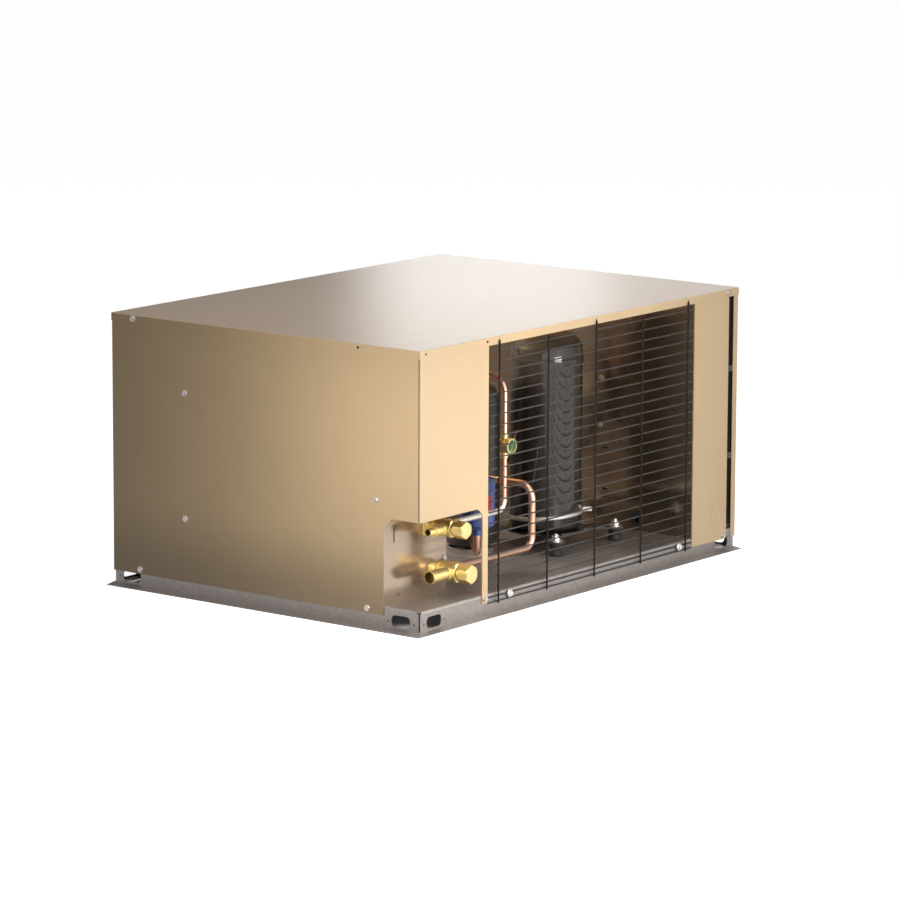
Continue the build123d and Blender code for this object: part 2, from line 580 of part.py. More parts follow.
with BuildPart() as coil_end_plates:
    for x, outward in ((COIL_LEFT, -1), (COIL_RIGHT - END_T, 1)):
        block(x, COIL_Y, FLOOR, x + END_T, COIL_Y + COIL_DEPTH + 2, INNER_TOP - SHEET)
    block(SKIRT_IN + 2, COIL_Y - 2, FLOOR, COIL_LEFT + END_T, COIL_Y - 2 + END_T,
          INNER_TOP - SHEET)
    block(COIL_LEFT, COIL_Y - 2, FLOOR, COIL_LEFT + END_T, COIL_Y, INNER_TOP - SHEET)
    block(COIL_RIGHT - END_T, COIL_Y - 2, FLOOR, SKIRT_R - 2, COIL_Y - 2 + END_T,
          INNER_TOP - SHEET)
    block(COIL_RIGHT - END_T, COIL_Y - 2, FLOOR, COIL_RIGHT, COIL_Y, INNER_TOP - SHEET)
    for z in (LEVELS[0], LEVELS[-1]):
        drill(front_at(COIL_PIPE_X, COIL_Y, z), radius=LIQ_PIPE_R + 1.2)
save(coil_end_plates.part, "coil_end_plates")


def return_bend(x, outward, first, second):
    """Half round tube bend standing on an end plate between two tube mouths (y, z)."""
    reach = 6.0
    gap = math.dist(first, second) / 2
    middle = ((first[0] + second[0]) / 2, (first[1] + second[1]) / 2)
    start = at(x, *first)
    bend_in = at(x + outward * reach, *first)
    bend_top = at(x + outward * (reach + gap), *middle)
    bend_out = at(x + outward * reach, *second)
    with BuildLine() as path:
        Line(start, bend_in)
        ThreePointArc(bend_in, bend_top, bend_out)
        Line(bend_out, at(x, *second))
    with BuildSketch(Plane(origin=start, z_dir=(outward, 0, 0))) as section:
        Circle(TUBE_R)
    sweep(section.sketch, path=path.line)


with BuildPart() as coil_return_bends:
    for level in LEVELS:
        return_bend(COIL_LEFT, -1, (TUBE_Y[0], level), (TUBE_Y[1], level))
save(coil_return_bends.part, "coil_return_bends")

with BuildPart() as coil_crossovers:
    for i in range(TUBE_LEVELS - 1):
        row = TUBE_Y[i % 2]
        z_low = LEVELS[i]
        z_high = LEVELS[i + 1]
        tube([(COIL_RIGHT, row, z_low), (COIL_RIGHT + 16, row, z_low),
              (COIL_RIGHT + 16, row, z_high), (COIL_RIGHT, row, z_high)],
             [10, 10], TUBE_R)
save(coil_crossovers.part, "coil_crossovers")

# ---------------------------------------------------------------- fan, shaft, motor, bracket
BLADE_Y = SHROUD_Y - 2.0
with BuildPart() as blade:
    for radius, chord, pitch, camber in ((HUB_R - 6, 58, 44, 0), (112, 96, 31, 0),
                                         (FAN_R + 8, 128, 23, 0)):
        with BuildSketch(side_plane(FAN_X + radius)):
            with Locations((BLADE_Y, FAN_Z)):
                SlotOverall(chord, 2.2, rotation=90 - pitch)
    loft()

with BuildPart() as fan_blades:
    for i in range(FAN_BLADES):
        turn = 360.0 / FAN_BLADES * i
        add(blade.part.rotate(Axis(at(FAN_X, 0, FAN_Z), (0, 1, 0)), turn))
    with BuildSketch(front_plane(BLADE_Y - 40)):
        with Locations((FAN_X, FAN_Z)):
            Circle(FAN_R)
    extrude(amount=-80, mode=Mode.INTERSECT)
    turned((FAN_X, BLADE_Y, FAN_Z), (0, 1, 0),
           [(-22, FAN_SHAFT_R + 0.02), (-22, HUB_R), (18, HUB_R), (26, HUB_R - 12),
            (26, FAN_SHAFT_R + 0.02)])
save(fan_blades.part, "fan_blades")

MOTOR_END = MOTOR_Y + MOTOR_L
with BuildPart() as fan_shaft:
    turned((FAN_X, 0, FAN_Z), (0, 1, 0),
           [(MOTOR_END - 34, 0), (MOTOR_END - 34, FAN_SHAFT_R), (BLADE_Y + 30, FAN_SHAFT_R),
            (BLADE_Y + 32, FAN_SHAFT_R - 1), (BLADE_Y + 32, 0)])
save(fan_shaft.part, "fan_shaft")

with BuildPart() as fan_motor:
    turned((FAN_X, 0, FAN_Z), (0, 1, 0),
           [(MOTOR_Y, 0), (MOTOR_Y, MOTOR_R - 14), (MOTOR_Y + 8, MOTOR_R - 3),
            (MOTOR_Y + 12, MOTOR_R), (MOTOR_END - 12, MOTOR_R), (MOTOR_END - 6, MOTOR_R - 4),
            (MOTOR_END, 16), (MOTOR_END, FAN_SHAFT_R + RUNNING_GAP),
            (MOTOR_END - 36, FAN_SHAFT_R + RUNNING_GAP), (MOTOR_END - 36, 0)])
save(fan_motor.part, "fan_motor")

BRACKET_Y = MOTOR_Y + 34.0
LEG_R = ORIFICE_R + BELL_R + 12.0
ARM_W = 20.0
ARM_T = 3.0
with BuildPart() as motor_bracket:
    with BuildSketch(front_plane(BRACKET_Y)):
        with Locations((FAN_X, FAN_Z)):
            Circle(MOTOR_R + ARM_T + 0.1)
            Circle(MOTOR_R + 0.1, mode=Mode.SUBTRACT)
    extrude(amount=-16)
    arm_l = LEG_R - MOTOR_R - 1
    for turn in (45, 135, 225, 315):
        c = math.cos(math.radians(turn))
        s = math.sin(math.radians(turn))
        arm_mid = MOTOR_R + 1 + arm_l / 2
        with BuildSketch(front_plane(BRACKET_Y)):
            with Locations(Location((FAN_X + arm_mid * c, FAN_Z + arm_mid * s), turn)):
                Rectangle(arm_l, ARM_W)
        extrude(amount=-ARM_T)
        with BuildSketch(front_plane(BRACKET_Y)):
            with Locations(Location((FAN_X + (LEG_R - ARM_T / 2) * c,
                                     FAN_Z + (LEG_R - ARM_T / 2) * s), turn)):
                Rectangle(ARM_T, ARM_W)
        extrude(amount=BRACKET_Y - SHROUD_Y)
        with BuildSketch(front_plane(SHROUD_Y)):
            with Locations(Location((FAN_X + (LEG_R + 7) * c, FAN_Z + (LEG_R + 7) * s),
                                    turn)):
                Rectangle(20, ARM_W)
        extrude(amount=ARM_T)
    with BuildSketch(front_plane(BRACKET_Y - 1)):
        with Locations((FAN_X, FAN_Z)):
            Circle(MOTOR_R + 0.1)
    extrude(amount=-20, mode=Mode.SUBTRACT)
save(motor_bracket.part, "motor_bracket")

# ---------------------------------------------------------------- front wire guard
WIRE_V_Y = -FIT - WIRE_V_R
WIRE_H_Y = WIRE_V_Y + WIRE_V_R + WIRE_H_R - WIRE_WELD
HOOK_TOP = FLANGE_BOTTOM + 10.0
H_LEFT = CORNER_W + 1.5
H_RIGHT = RIGHT_PANEL_X - 4.0
WIRE_V_STEP = (RIGHT_PANEL_X - CORNER_W - 2 * WIRE_V_INSET) / (WIRE_V_COUNT - 1)
WIRE_H_STEP = (WIRE_H_LAST - WIRE_H_FIRST) / (WIRE_H_COUNT - 1)
CLAMP_R = 6.5
CLAMP_T = 1.2
with BuildPart() as front_guard:
    for i in range(WIRE_V_COUNT):
        x = CORNER_W + WIRE_V_INSET + i * WIRE_V_STEP
        if i % 2 == 0:
            profile = [(WIRE_BOTTOM - 3, 0), (WIRE_BOTTOM - 3, WIRE_V_R),
                       (HOOK_TOP - 8, WIRE_V_R), (HOOK_TOP, 0)]
        else:
            profile = [(WIRE_BOTTOM - 3, 0), (WIRE_BOTTOM - 3, WIRE_V_R),
                       (FLANGE_BOTTOM - 2, WIRE_V_R), (FLANGE_BOTTOM - 2, 0)]
        turned((x, WIRE_V_Y, 0), (0, 0, 1), profile)
    heights = [WIRE_BOTTOM] + [WIRE_H_FIRST + i * WIRE_H_STEP for i in range(WIRE_H_COUNT)]
    with BuildSketch(side_plane(H_LEFT)):
        with Locations(*[(WIRE_H_Y, z) for z in heights]):
            Circle(WIRE_H_R)
    extrude(amount=H_RIGHT - H_LEFT)
save(front_guard.part, "front_guard")

with BuildPart() as guard_screws:
    clamp_y = WIRE_H_Y - WIRE_H_R
    for x, z in GUARD_SCREWS:
        with BuildSketch(front_at(x, clamp_y, z)):
            Circle(CLAMP_R)
            Circle(SCREW_R, mode=Mode.SUBTRACT)
        extrude(amount=CLAMP_T)
        screw_on(front_at(x, clamp_y - CLAMP_T, z), length=14)
save(guard_screws.part, "guard_screws")

# ---------------------------------------------------------------- compressor
FOOT_Z = FLOOR + MOUNT_H
with BuildPart() as compressor_shell:
    turned((COMP_X, COMP_Y, 0), (0, 0, 1),
           [(FOOT_Z + FOOT_T, 0), (FOOT_Z + FOOT_T, COMP_R), (COMP_TOP, COMP_R),
            (COMP_TOP, 0)])
    fillet(compressor_shell.faces().sort_by(Axis.Z)[-1].edges(), radius=24)
    fillet(compressor_shell.faces().sort_by(Axis.Z)[0].edges(), radius=10)
    # discharge and suction stubs
    turned((HOT_PIPE[0], COMP_Y, 0), (0, 0, 1),
           [(COMP_TOP - 30, 0), (COMP_TOP - 30, 9), (COMP_TOP + 8, 9),
            (COMP_TOP + 8, LIQ_PIPE_R + BRAZE_GAP), (COMP_TOP, LIQ_PIPE_R + BRAZE_GAP),
            (COMP_TOP, 0)])
    turned((COMP_X - COMP_STUB_X, COMP_Y, SUC_RUN_Z), (0, 1, 0),
           [(COMP_R - 15, 0), (COMP_R - 15, 10), (COMP_R + 7, 10),
            (COMP_R + 7, SUC_PIPE_R + BRAZE_GAP), (COMP_R - 1, SUC_PIPE_R + BRAZE_GAP),
            (COMP_R - 1, 0)])
save(compressor_shell.part, "compressor_shell")

with BuildPart() as compressor_foot:
    with BuildSketch(floor_plane(FOOT_Z)):
        with Locations((COMP_X, COMP_Y)):
            Circle(COMP_R + 6)
            for turn in (45, 135):
                SlotCenterToCenter(2 * MOUNT_HALF * math.sqrt(2), 36, rotation=turn)
    extrude(amount=FOOT_T)
    for x, y in MOUNTS:
        with BuildSketch(floor_plane(FOOT_Z)):
            with Locations((x, y)):
                Circle(BOLT_R + 0.4)
        extrude(amount=FOOT_T, mode=Mode.SUBTRACT)
save(compressor_foot.part, "compressor_foot")

with BuildPart() as compressor_mounts:
    for x, y in MOUNTS:
        turned((x, y, FLOOR), (0, 0, 1),
               [(0, BOLT_R + 0.3), (0, MOUNT_R), (MOUNT_H * 0.35, MOUNT_R),
                (MOUNT_H * 0.5, MOUNT_R - 2), (MOUNT_H * 0.65, MOUNT_R),
                (MOUNT_H, MOUNT_R - 1), (MOUNT_H, BOLT_R + 0.3)])
save(compressor_mounts.part, "compressor_mounts")

with BuildPart() as compressor_bolts:
    top = FOOT_Z + FOOT_T
    under = FLOOR - SHEET
    for x, y in MOUNTS:
        turned((x, y, 0), (0, 0, 1),
               [(under - 6, 0), (under - 6, 8), (under, 8), (under, BOLT_R),
                (top, BOLT_R), (top, 12), (top + 1.5, 12), (top + 1.5, BOLT_R),
                (top + 11, BOLT_R), (top + 12, BOLT_R - 1), (top + 12, 0)])
        with BuildSketch(floor_plane(top + 1.5)):
            with Locations((x, y)):
                RegularPolygon(7.5, 6)
        extrude(amount=6.5)
save(compressor_bolts.part, "compressor_bolts")

HEATER_T = 4.0
EAR_L = 15.0
ear_turn = math.radians(HEATER_EAR_TURN)
ear_dir = Vector(math.cos(ear_turn), math.sin(ear_turn), 0)
with BuildPart() as crankcase_heater:
    # band and clamp ear, cut out of a tall ring by a slab that rises towards the ear
    with BuildSketch(floor_plane(FOOT_Z + FOOT_T + 10)):
        with Locations((COMP_X, COMP_Y)):
            Circle(COMP_R + HEATER_T)
            with Locations(Location((0, 0), HEATER_EAR_TURN)):
                with Locations((COMP_R + EAR_L / 2 + HEATER_T / 2, 0)):
                    Rectangle(EAR_L + HEATER_T, 5)
            Circle(COMP_R, mode=Mode.SUBTRACT)
    extrude(amount=2 * (HEATER_Z - FOOT_Z - FOOT_T - 10))
    rise = math.radians(HEATER_TILT)
    tilted = Plane(origin=at(COMP_X, COMP_Y, HEATER_Z), x_dir=(-ear_dir.Y, ear_dir.X, 0),
                   z_dir=(-ear_dir.X * math.sin(rise), -ear_dir.Y * math.sin(rise),
                          math.cos(rise)))
    with BuildSketch(tilted) as slab:
        Circle(2 * COMP_R)
    extrude(slab.sketch, amount=HEATER_H / 2, both=True, mode=Mode.INTERSECT)
save(crankcase_heater.part, "crankcase_heater")

TERMINAL_TURN = 35.0
with BuildPart() as terminal_cover:
    facing = Plane(origin=at(COMP_X, COMP_Y, 250), x_dir=(-math.sin(math.radians(
        TERMINAL_TURN)), math.cos(math.radians(TERMINAL_TURN)), 0), z_dir=(math.cos(
            math.radians(TERMINAL_TURN)), math.sin(math.radians(TERMINAL_TURN)), 0))
    with BuildSketch(facing.offset(COMP_R - 12)):
        RectangleRounded(66, 82, 8)
    extrude(amount=44)
    fillet(terminal_cover.faces().sort_by(Axis((0, 0, 0), facing.z_dir))[-1].edges(),
           radius=5)
    with BuildSketch(floor_plane(200)):
        with Locations((COMP_X, COMP_Y)):
            Circle(COMP_R + 0.1)
    extrude(amount=100, mode=Mode.SUBTRACT)
save(terminal_cover.part, "terminal_cover")

# ---------------------------------------------------------------- service valves


class Valve:
    """Sizes of one service valve."""

    def __init__(self, x, z, body_r, stub_r, stub_end, socket_r, pipe_r, hex_af):
        self.x = x
        self.z = z
        self.body_r = body_r
        self.stub_r = stub_r
        self.stub_end = stub_end
        self.socket_r = socket_r
        self.pipe_r = pipe_r
        self.hex_af = hex_af
        self.gland_r = hex_af / 2 - 3.0


CAP_FRONT = 3.0
CAP_BACK = 27.0
CAP_WALL = 3.0
STEM_R = 4.0
GLAND_FRONT = CAP_FRONT + 12.0
PORT_REACH = 34.0
LIQUID = Valve(LIQ_X, LIQ_Z, 15.0, 10.0, 77.5, 4.85, LIQ_PIPE_R, 26.8)
SUCTION = Valve(SUC_X, SUC_Z, 17.0, 11.2, 82.0, 9.6, SUC_PIPE_R, 29.3)
SOCKET_LENGTH = 14.0


def valve_body(valve):
    """Brass forging: foot, neck, bowl, gland, field stub and pipe port."""
    foot_front = PLATE_Y - 6.0
    axis_z = (valve.x, 0, valve.z)
    turned(axis_z, (0, 1, 0),
           [(GLAND_FRONT, STEM_R + RUNNING_GAP), (GLAND_FRONT, valve.gland_r),
            (CAP_BACK + 1, valve.gland_r), (CAP_BACK + 1, valve.body_r - 2),
            (STUB_Y - 13, valve.body_r), (PORT_Y + 4, valve.body_r),
            (foot_front, valve.body_r - 3), (PLATE_Y, valve.body_r - 3), (PLATE_Y, 0),
            (60, 0), (60, STEM_R + RUNNING_GAP)])
    with BuildSketch(front_plane(PLATE_Y)) as foot:
        with Locations((valve.x - 6, valve.z)):
            RectangleRounded(44, 28, 6)
        with Locations((valve.x + FOOT_HOLE_X, valve.z + FOOT_HOLE_Z),
                       (valve.x + FOOT_HOLE_X, valve.z - FOOT_HOLE_Z)):
            Circle(1.8, mode=Mode.SUBTRACT)
    extrude(foot.sketch, amount=6.0)
    # field stub to the left; the liquid one steps down near its mouth
    reach = valve.x - valve.stub_end
    tip_r = min(valve.stub_r, valve.socket_r + 1.9)
    step = reach - 15 if tip_r < valve.stub_r else reach
    profile = [(4.5, 0), (4.5, valve.stub_r), (step, valve.stub_r)]
    if tip_r < valve.stub_r:
        profile += [(step, tip_r), (reach, tip_r)]
    profile += [(reach, valve.socket_r), (reach - SOCKET_LENGTH, valve.socket_r),
                (reach - SOCKET_LENGTH, 0)]
    turned((valve.x, STUB_Y, valve.z), (-1, 0, 0), profile)
    # pipe port to the right
    mouth = PORT_REACH
    turned((valve.x, PORT_Y, valve.z), (1, 0, 0),
           [(4.5, 0), (4.5, valve.pipe_r + 3.5), (mouth, valve.pipe_r + 3.5),
            (mouth, valve.pipe_r + BRAZE_GAP), (mouth - SOCKET_DEPTH,
                                                valve.pipe_r + BRAZE_GAP),
            (mouth - SOCKET_DEPTH, 0)])


def valve_stem(valve):
    """Stem with a square end for the service wrench."""
    turned((valve.x, 0, valve.z), (0, 1, 0),
           [(CAP_FRONT + 9, 0), (CAP_FRONT + 9, STEM_R), (58, STEM_R), (59, STEM_R - 1),
            (59, 0)])
    with BuildSketch(front_plane(CAP_FRONT + 9)) as square:
        with Locations((valve.x, valve.z)):
            Rectangle(5.5, 5.5)
    extrude(square.sketch, amount=4.5)


def valve_cap(valve):
    """Hexagon cap over the stem, open at the back."""
    with BuildSketch(front_plane(CAP_BACK)) as hexagon:
        with Locations((valve.x, valve.z)):
            RegularPolygon(valve.hex_af / 2, 6, major_radius=False, rotation=30)
            Circle(valve.hex_af / 2 + 1.2, mode=Mode.INTERSECT)
    extrude(hexagon.sketch, amount=CAP_BACK - CAP_FRONT)
    with BuildSketch(front_plane(CAP_BACK)) as bore:
        with Locations((valve.x, valve.z)):
            Circle(valve.gland_r + FIT)
    extrude(bore.sketch, amount=CAP_BACK - CAP_FRONT - CAP_WALL, mode=Mode.SUBTRACT)


for valve, prefix in ((LIQUID, "liquid"), (SUCTION, "suction")):
    with BuildPart() as body:
        valve_body(valve)
    save(body.part, f"{prefix}_valve_body")
    with BuildPart() as stem:
        valve_stem(valve)
    save(stem.part, f"{prefix}_valve_stem")
    with BuildPart() as cap:
        valve_cap(valve)
    save(cap.part, f"{prefix}_valve_cap")

with BuildPart() as valve_screws:
    for x, z in VALVE_FEET:
        for side in (1, -1):
            plane = front_at(x + FOOT_HOLE_X, PLATE_Y - 6, z + side * FOOT_HOLE_Z)
            with BuildSketch(plane):
                Circle(3.2)
            extrude(amount=1.8)
            with BuildSketch(plane):
                Circle(1.6)
            extrude(amount=-12)
save(valve_screws.part, "valve_screws")

# ---------------------------------------------------------------- pipework
LIQ_BEND = 18.0
SUC_BEND = 24.0
U_R = (DRIER_Y - PORT_Y) / 2
LIQ_TOP = LID_TOP - 89.0
GLASS_HALF = 26.0
with BuildPart() as liquid_line:
    tube([(LIQ_X + PORT_REACH - SOCKET_DEPTH, PORT_Y, LIQ_Z), (LIQ_RISER_X, PORT_Y, LIQ_Z),
          (LIQ_RISER_X, PORT_Y, GLASS_Z - GLASS_HALF + SOCKET_DEPTH)], [LIQ_BEND], LIQ_PIPE_R)
    tube([(LIQ_RISER_X, PORT_Y, GLASS_Z + GLASS_HALF - SOCKET_DEPTH),
          (LIQ_RISER_X, PORT_Y, LIQ_TOP), (LIQ_RISER_X, DRIER_Y, LIQ_TOP),
          (LIQ_RISER_X, DRIER_Y, DRIER_TOP + 10)], [U_R - 0.01, U_R - 0.01], LIQ_PIPE_R)
save(liquid_line.part, "liquid_line")

with BuildPart() as sight_glass_body:
    turned((LIQ_RISER_X, PORT_Y, GLASS_Z), (0, 0, 1),
           [(-GLASS_HALF, LIQ_PIPE_R + BRAZE_GAP), (-GLASS_HALF, 7.5), (-14, 7.5), (-10, 10),
            (10, 10), (14, 7.5), (GLASS_HALF, 7.5), (GLASS_HALF, LIQ_PIPE_R + BRAZE_GAP),
            (GLASS_HALF - SOCKET_DEPTH, LIQ_PIPE_R + BRAZE_GAP), (GLASS_HALF - SOCKET_DEPTH, 0),
            (-GLASS_HALF + SOCKET_DEPTH, 0),
            (-GLASS_HALF + SOCKET_DEPTH, LIQ_PIPE_R + BRAZE_GAP)])
    turned((LIQ_RISER_X, PORT_Y, GLASS_Z), (0, -1, 0),
           [(0, 0), (0, GLASS_R - 1), (8, GLASS_R - 1), (10, GLASS_R), (17, GLASS_R),
            (17, GLASS_R - 2.6), (14, GLASS_R - 2.6), (14, 0)])
save(sight_glass_body.part, "sight_glass_body")

with BuildPart() as sight_glass_lens:
    turned((LIQ_RISER_X, PORT_Y, GLASS_Z), (0, -1, 0),
           [(14, 0), (14, GLASS_R - 2.7), (16, GLASS_R - 2.7), (16, 0)])
save(sight_glass_lens.part, "sight_glass_lens")

with BuildPart() as filter_drier:
    turned((LIQ_RISER_X, DRIER_Y, 0), (0, 0, 1),
           [(DRIER_BOTTOM - 10, DRIER_NECK_R), (DRIER_BOTTOM, DRIER_NECK_R),
            (DRIER_BOTTOM + 8, DRIER_R), (DRIER_TOP - 8, DRIER_R), (DRIER_TOP, DRIER_NECK_R),
            (DRIER_TOP + 10, DRIER_NECK_R), (DRIER_TOP + 10, 0), (DRIER_BOTTOM - 10, 0)])
save(filter_drier.part, "filter_drier")

OUTLET_Z = 69.0
OUTLET_REACH = RECEIVER_R + 10.0
outlet_run = Vector(LIQ_RISER_X - RECEIVER_X, DRIER_Y - RECEIVER_Y, 0)
outlet_dir = outlet_run.normalized()
with BuildPart() as receiver_line:
    tube([(LIQ_RISER_X, DRIER_Y, DRIER_BOTTOM - 10), (LIQ_RISER_X, DRIER_Y, OUTLET_Z),
          (RECEIVER_X + OUTLET_REACH * outlet_dir.X, RECEIVER_Y + OUTLET_REACH * outlet_dir.Y,
           OUTLET_Z)], [LIQ_BEND], SUC_PIPE_R)
save(receiver_line.part, "receiver_line")

with BuildPart() as receiver:
    turned((RECEIVER_X, RECEIVER_Y, 0), (0, 0, 1),
           [(FLOOR + 12, 0), (FLOOR + 12, RECEIVER_R), (RECEIVER_TOP, RECEIVER_R),
            (RECEIVER_TOP, 0)])
    fillet(receiver.faces().sort_by(Axis.Z)[-1].edges(), radius=20)
    fillet(receiver.faces().sort_by(Axis.Z)[0].edges(), radius=10)
    turned((RECEIVER_X, RECEIVER_Y, 0), (0, 0, 1),
           [(RECEIVER_TOP - 6, 0), (RECEIVER_TOP - 6, 8.5), (RECEIVER_TOP + 8, 8.5),
            (RECEIVER_TOP + 8, 0)])
    turned((RECEIVER_X, RECEIVER_Y, OUTLET_Z), (outlet_dir.X, outlet_dir.Y, 0),
           [(RECEIVER_R - 10, 0), (RECEIVER_R - 10, 8.5), (OUTLET_REACH, 8.5),
            (OUTLET_REACH, 0)])
save(receiver.part, "receiver")

with BuildPart() as receiver_stand:
    with BuildSketch(floor_plane(FLOOR)):
        with Locations((RECEIVER_X, RECEIVER_Y)):
            Circle(RECEIVER_R + 12)
            Circle(RECEIVER_R - 10, mode=Mode.SUBTRACT)
    extrude(amount=2)
    with BuildSketch(floor_plane(FLOOR)):
        with Locations((RECEIVER_X, RECEIVER_Y)):
            Circle(RECEIVER_R - 8)
            Circle(RECEIVER_R - 10, mode=Mode.SUBTRACT)
    extrude(amount=12)
save(receiver_stand.part, "receiver_stand")

with BuildPart() as suction_line:
    tube([(SUC_X + PORT_REACH - SOCKET_DEPTH, PORT_Y, SUC_Z), (SUC_RISER_X, PORT_Y, SUC_Z),
          (SUC_RISER_X, PORT_Y, SUC_RUN_Z), (SUC_RISER_X, RETURN_Y, SUC_RUN_Z),
          (COMP_X - COMP_STUB_X, RETURN_Y, SUC_RUN_Z),
          (COMP_X - COMP_STUB_X, COMP_Y + COMP_R - 1, SUC_RUN_Z)],
         [20, 27, SUC_BEND, 20], SUC_PIPE_R)
save(suction_line.part, "suction_line")

with BuildPart() as discharge_line:
    tube([(HOT_PIPE[0], COMP_Y, COMP_TOP), (HOT_PIPE[0], COMP_Y, HOT_PIPE[1]),
          (HOT_PIPE[0], BACK_Y, HOT_PIPE[1]), (COIL_PIPE_X, BACK_Y, HOT_PIPE[1]),
          (COIL_PIPE_X, TUBE_Y[1], HOT_PIPE[1]), (COIL_RIGHT, TUBE_Y[1], HOT_PIPE[1])],
         [10, 18, 18, 9], LIQ_PIPE_R)
save(discharge_line.part, "discharge_line")

RISER_Y = RETURN_Y + 24.0
CROSS_Z = RECEIVER_TOP + 34.0
with BuildPart() as condensate_line:
    tube([(COIL_RIGHT, TUBE_Y[1], LEVELS[0]), (COIL_PIPE_X, TUBE_Y[1], LEVELS[0]),
          (COIL_PIPE_X, BACK_Y, LEVELS[0]), (COLD_PIPE[0], BACK_Y, COLD_PIPE[1]),
          (COLD_PIPE[0], RISER_Y, COLD_PIPE[1]), (COLD_PIPE[0], RISER_Y, CROSS_Z),
          (RECEIVER_X, RISER_Y, CROSS_Z), (RECEIVER_X, RECEIVER_Y, CROSS_Z),
          (RECEIVER_X, RECEIVER_Y, RECEIVER_TOP + 8)],
         [9, 9, 18, 18, 18, 18, 18], LIQ_PIPE_R)
save(condensate_line.part, "condensate_line")

# ---------------------------------------------------------------- electrical bay
WALL = PARTITION_X + SHEET
CONTACTOR = (150.0, 340.0)
with BuildPart() as contactor_body:
    with BuildSketch(side_plane(WALL)):
        with Locations(CONTACTOR):
            RectangleRounded(72, 86, 3)
    extrude(amount=38)
    with BuildSketch(side_plane(WALL)):
        with Locations(CONTACTOR):
            Rectangle(40, 60)
    extrude(amount=58)
    with BuildSketch(side_plane(WALL + 30)):
        with Locations(CONTACTOR):
            Rectangle(16, 30)
    extrude(amount=30, mode=Mode.SUBTRACT)
save(contactor_body.part, "contactor_body")

PLUNGE = 3.0
with BuildPart() as contactor_plunger:
    with BuildSketch(side_plane(WALL + 30 + PLUNGE + FIT)):
        with Locations(CONTACTOR):
            RectangleRounded(15, 29, 2)
    extrude(amount=29)
save(contactor_plunger.part, "contactor_plunger")

CAPACITOR = (260.0, 330.0)
CAP_R = 22.0
with BuildPart() as run_capacitor:
    with BuildSketch(floor_plane(CAPACITOR[1] - 45)):
        with Locations((WALL + CAP_R + 2, CAPACITOR[0])):
            SlotOverall(2 * CAP_R + 20, 2 * CAP_R, rotation=90)
    extrude(amount=90)
    with BuildSketch(floor_plane(CAPACITOR[1] + 45)):
        with Locations((WALL + CAP_R + 2, CAPACITOR[0] - 12), (WALL + CAP_R + 2,
                                                             CAPACITOR[0] + 12)):
            Rectangle(7, 5)
    extrude(amount=9)
save(run_capacitor.part, "run_capacitor")

with BuildPart() as capacitor_strap:
    with BuildSketch(floor_plane(CAPACITOR[1] - 8)):
        with Locations((WALL + CAP_R + 2, CAPACITOR[0])):
            SlotOverall(2 * CAP_R + 22.4, 2 * CAP_R + 2.4, rotation=90)
            SlotOverall(2 * CAP_R + 20.2, 2 * CAP_R + 0.2, rotation=90, mode=Mode.SUBTRACT)
    extrude(amount=16)
    block(WALL, CAPACITOR[0] - 50, CAPACITOR[1] - 8, WALL + 1.6, CAPACITOR[0] + 50,
          CAPACITOR[1] + 8)
    with BuildSketch(floor_plane(CAPACITOR[1] - 8)):
        with Locations((WALL + CAP_R + 2, CAPACITOR[0])):
            SlotOverall(2 * CAP_R + 20.2, 2 * CAP_R + 0.2, rotation=90)
    extrude(amount=16, mode=Mode.SUBTRACT)
save(capacitor_strap.part, "capacitor_strap")

TERMINALS = (130.0, 236.0)
with BuildPart() as terminal_block:
    y, z = TERMINALS
    block(WALL, y - 60, z - 16, WALL + 14, y + 60, z + 16)
    with BuildSketch(side_plane(WALL + 14)):
        with Locations(TERMINALS):
            with GridLocations(18, 1, 6, 1):
                Rectangle(14, 24)
    extrude(amount=-6, mode=Mode.SUBTRACT)
    with BuildSketch(side_plane(WALL + 8)):
        with Locations(TERMINALS):
            with GridLocations(18, 1, 6, 1):
                Circle(3.4)
    extrude(amount=3)
save(terminal_block.part, "terminal_block")

CONTROL = (SHROUD_Y - 100.0, 250.0)
CONTROL_W = 84.0
CONTROL_H = 110.0
with BuildPart() as pressure_control:
    with BuildSketch(side_plane(WALL)):
        with Locations(CONTROL):
            RectangleRounded(CONTROL_W, CONTROL_H, 5)
    extrude(amount=46)
    fillet(pressure_control.faces().sort_by(Axis.X)[-1].edges(), radius=4)
    for side in (-1, 1):
        turned((WALL + 22, CONTROL[0] + side * CONTROL_W / 4, CONTROL[1] - CONTROL_H / 2),
               (0, 0, -1),
               [(0, 0), (0, 12), (16, 12), (20, 8), (28, 8), (28, 0)])
save(pressure_control.part, "pressure_control")

# ---------------------------------------------------------------- screws
with BuildPart() as lid_screws:
    screw_on(left_at(0, LID_LEFT_SCREW_Y, LID_SCREW_Z))
    screw_on(front_at(LID_FRONT_SCREW_X, 0, LID_SCREW_Z))
    for x in LID_REAR_SCREWS_X:
        screw_on(rear_at(x, LID_D, LID_SCREW_Z))
save(lid_screws.part, "lid_screws")

with BuildPart() as panel_screws:
    for y, z in LEFT_PANEL_SCREWS + SIDE_BASE_SCREWS:
        screw_on(left_at(PANEL_IN, y, z))
    for x, z in (POST_SCREW, RIGHT_PANEL_SCREW):
        screw_on(front_at(x, PANEL_IN, z))
    for x, z in REAR_SCREWS:
        screw_on(rear_at(x, LID_D - PANEL_IN, z))
    for y, z in PARTITION_SCREWS:
        screw_on(left_at(PARTITION_X, y, z), length=6)
    screw_on(front_at(PLATE_SCREW[0], PLATE_Y, PLATE_SCREW[1]))
save(panel_screws.part, "panel_screws")

with BuildPart() as end_panel_screws:
    for y, z in WALL_SCREWS + SIDE_BASE_SCREWS:
        screw_on(right_at(END_OUT, y, z))
save(end_panel_screws.part, "end_panel_screws")
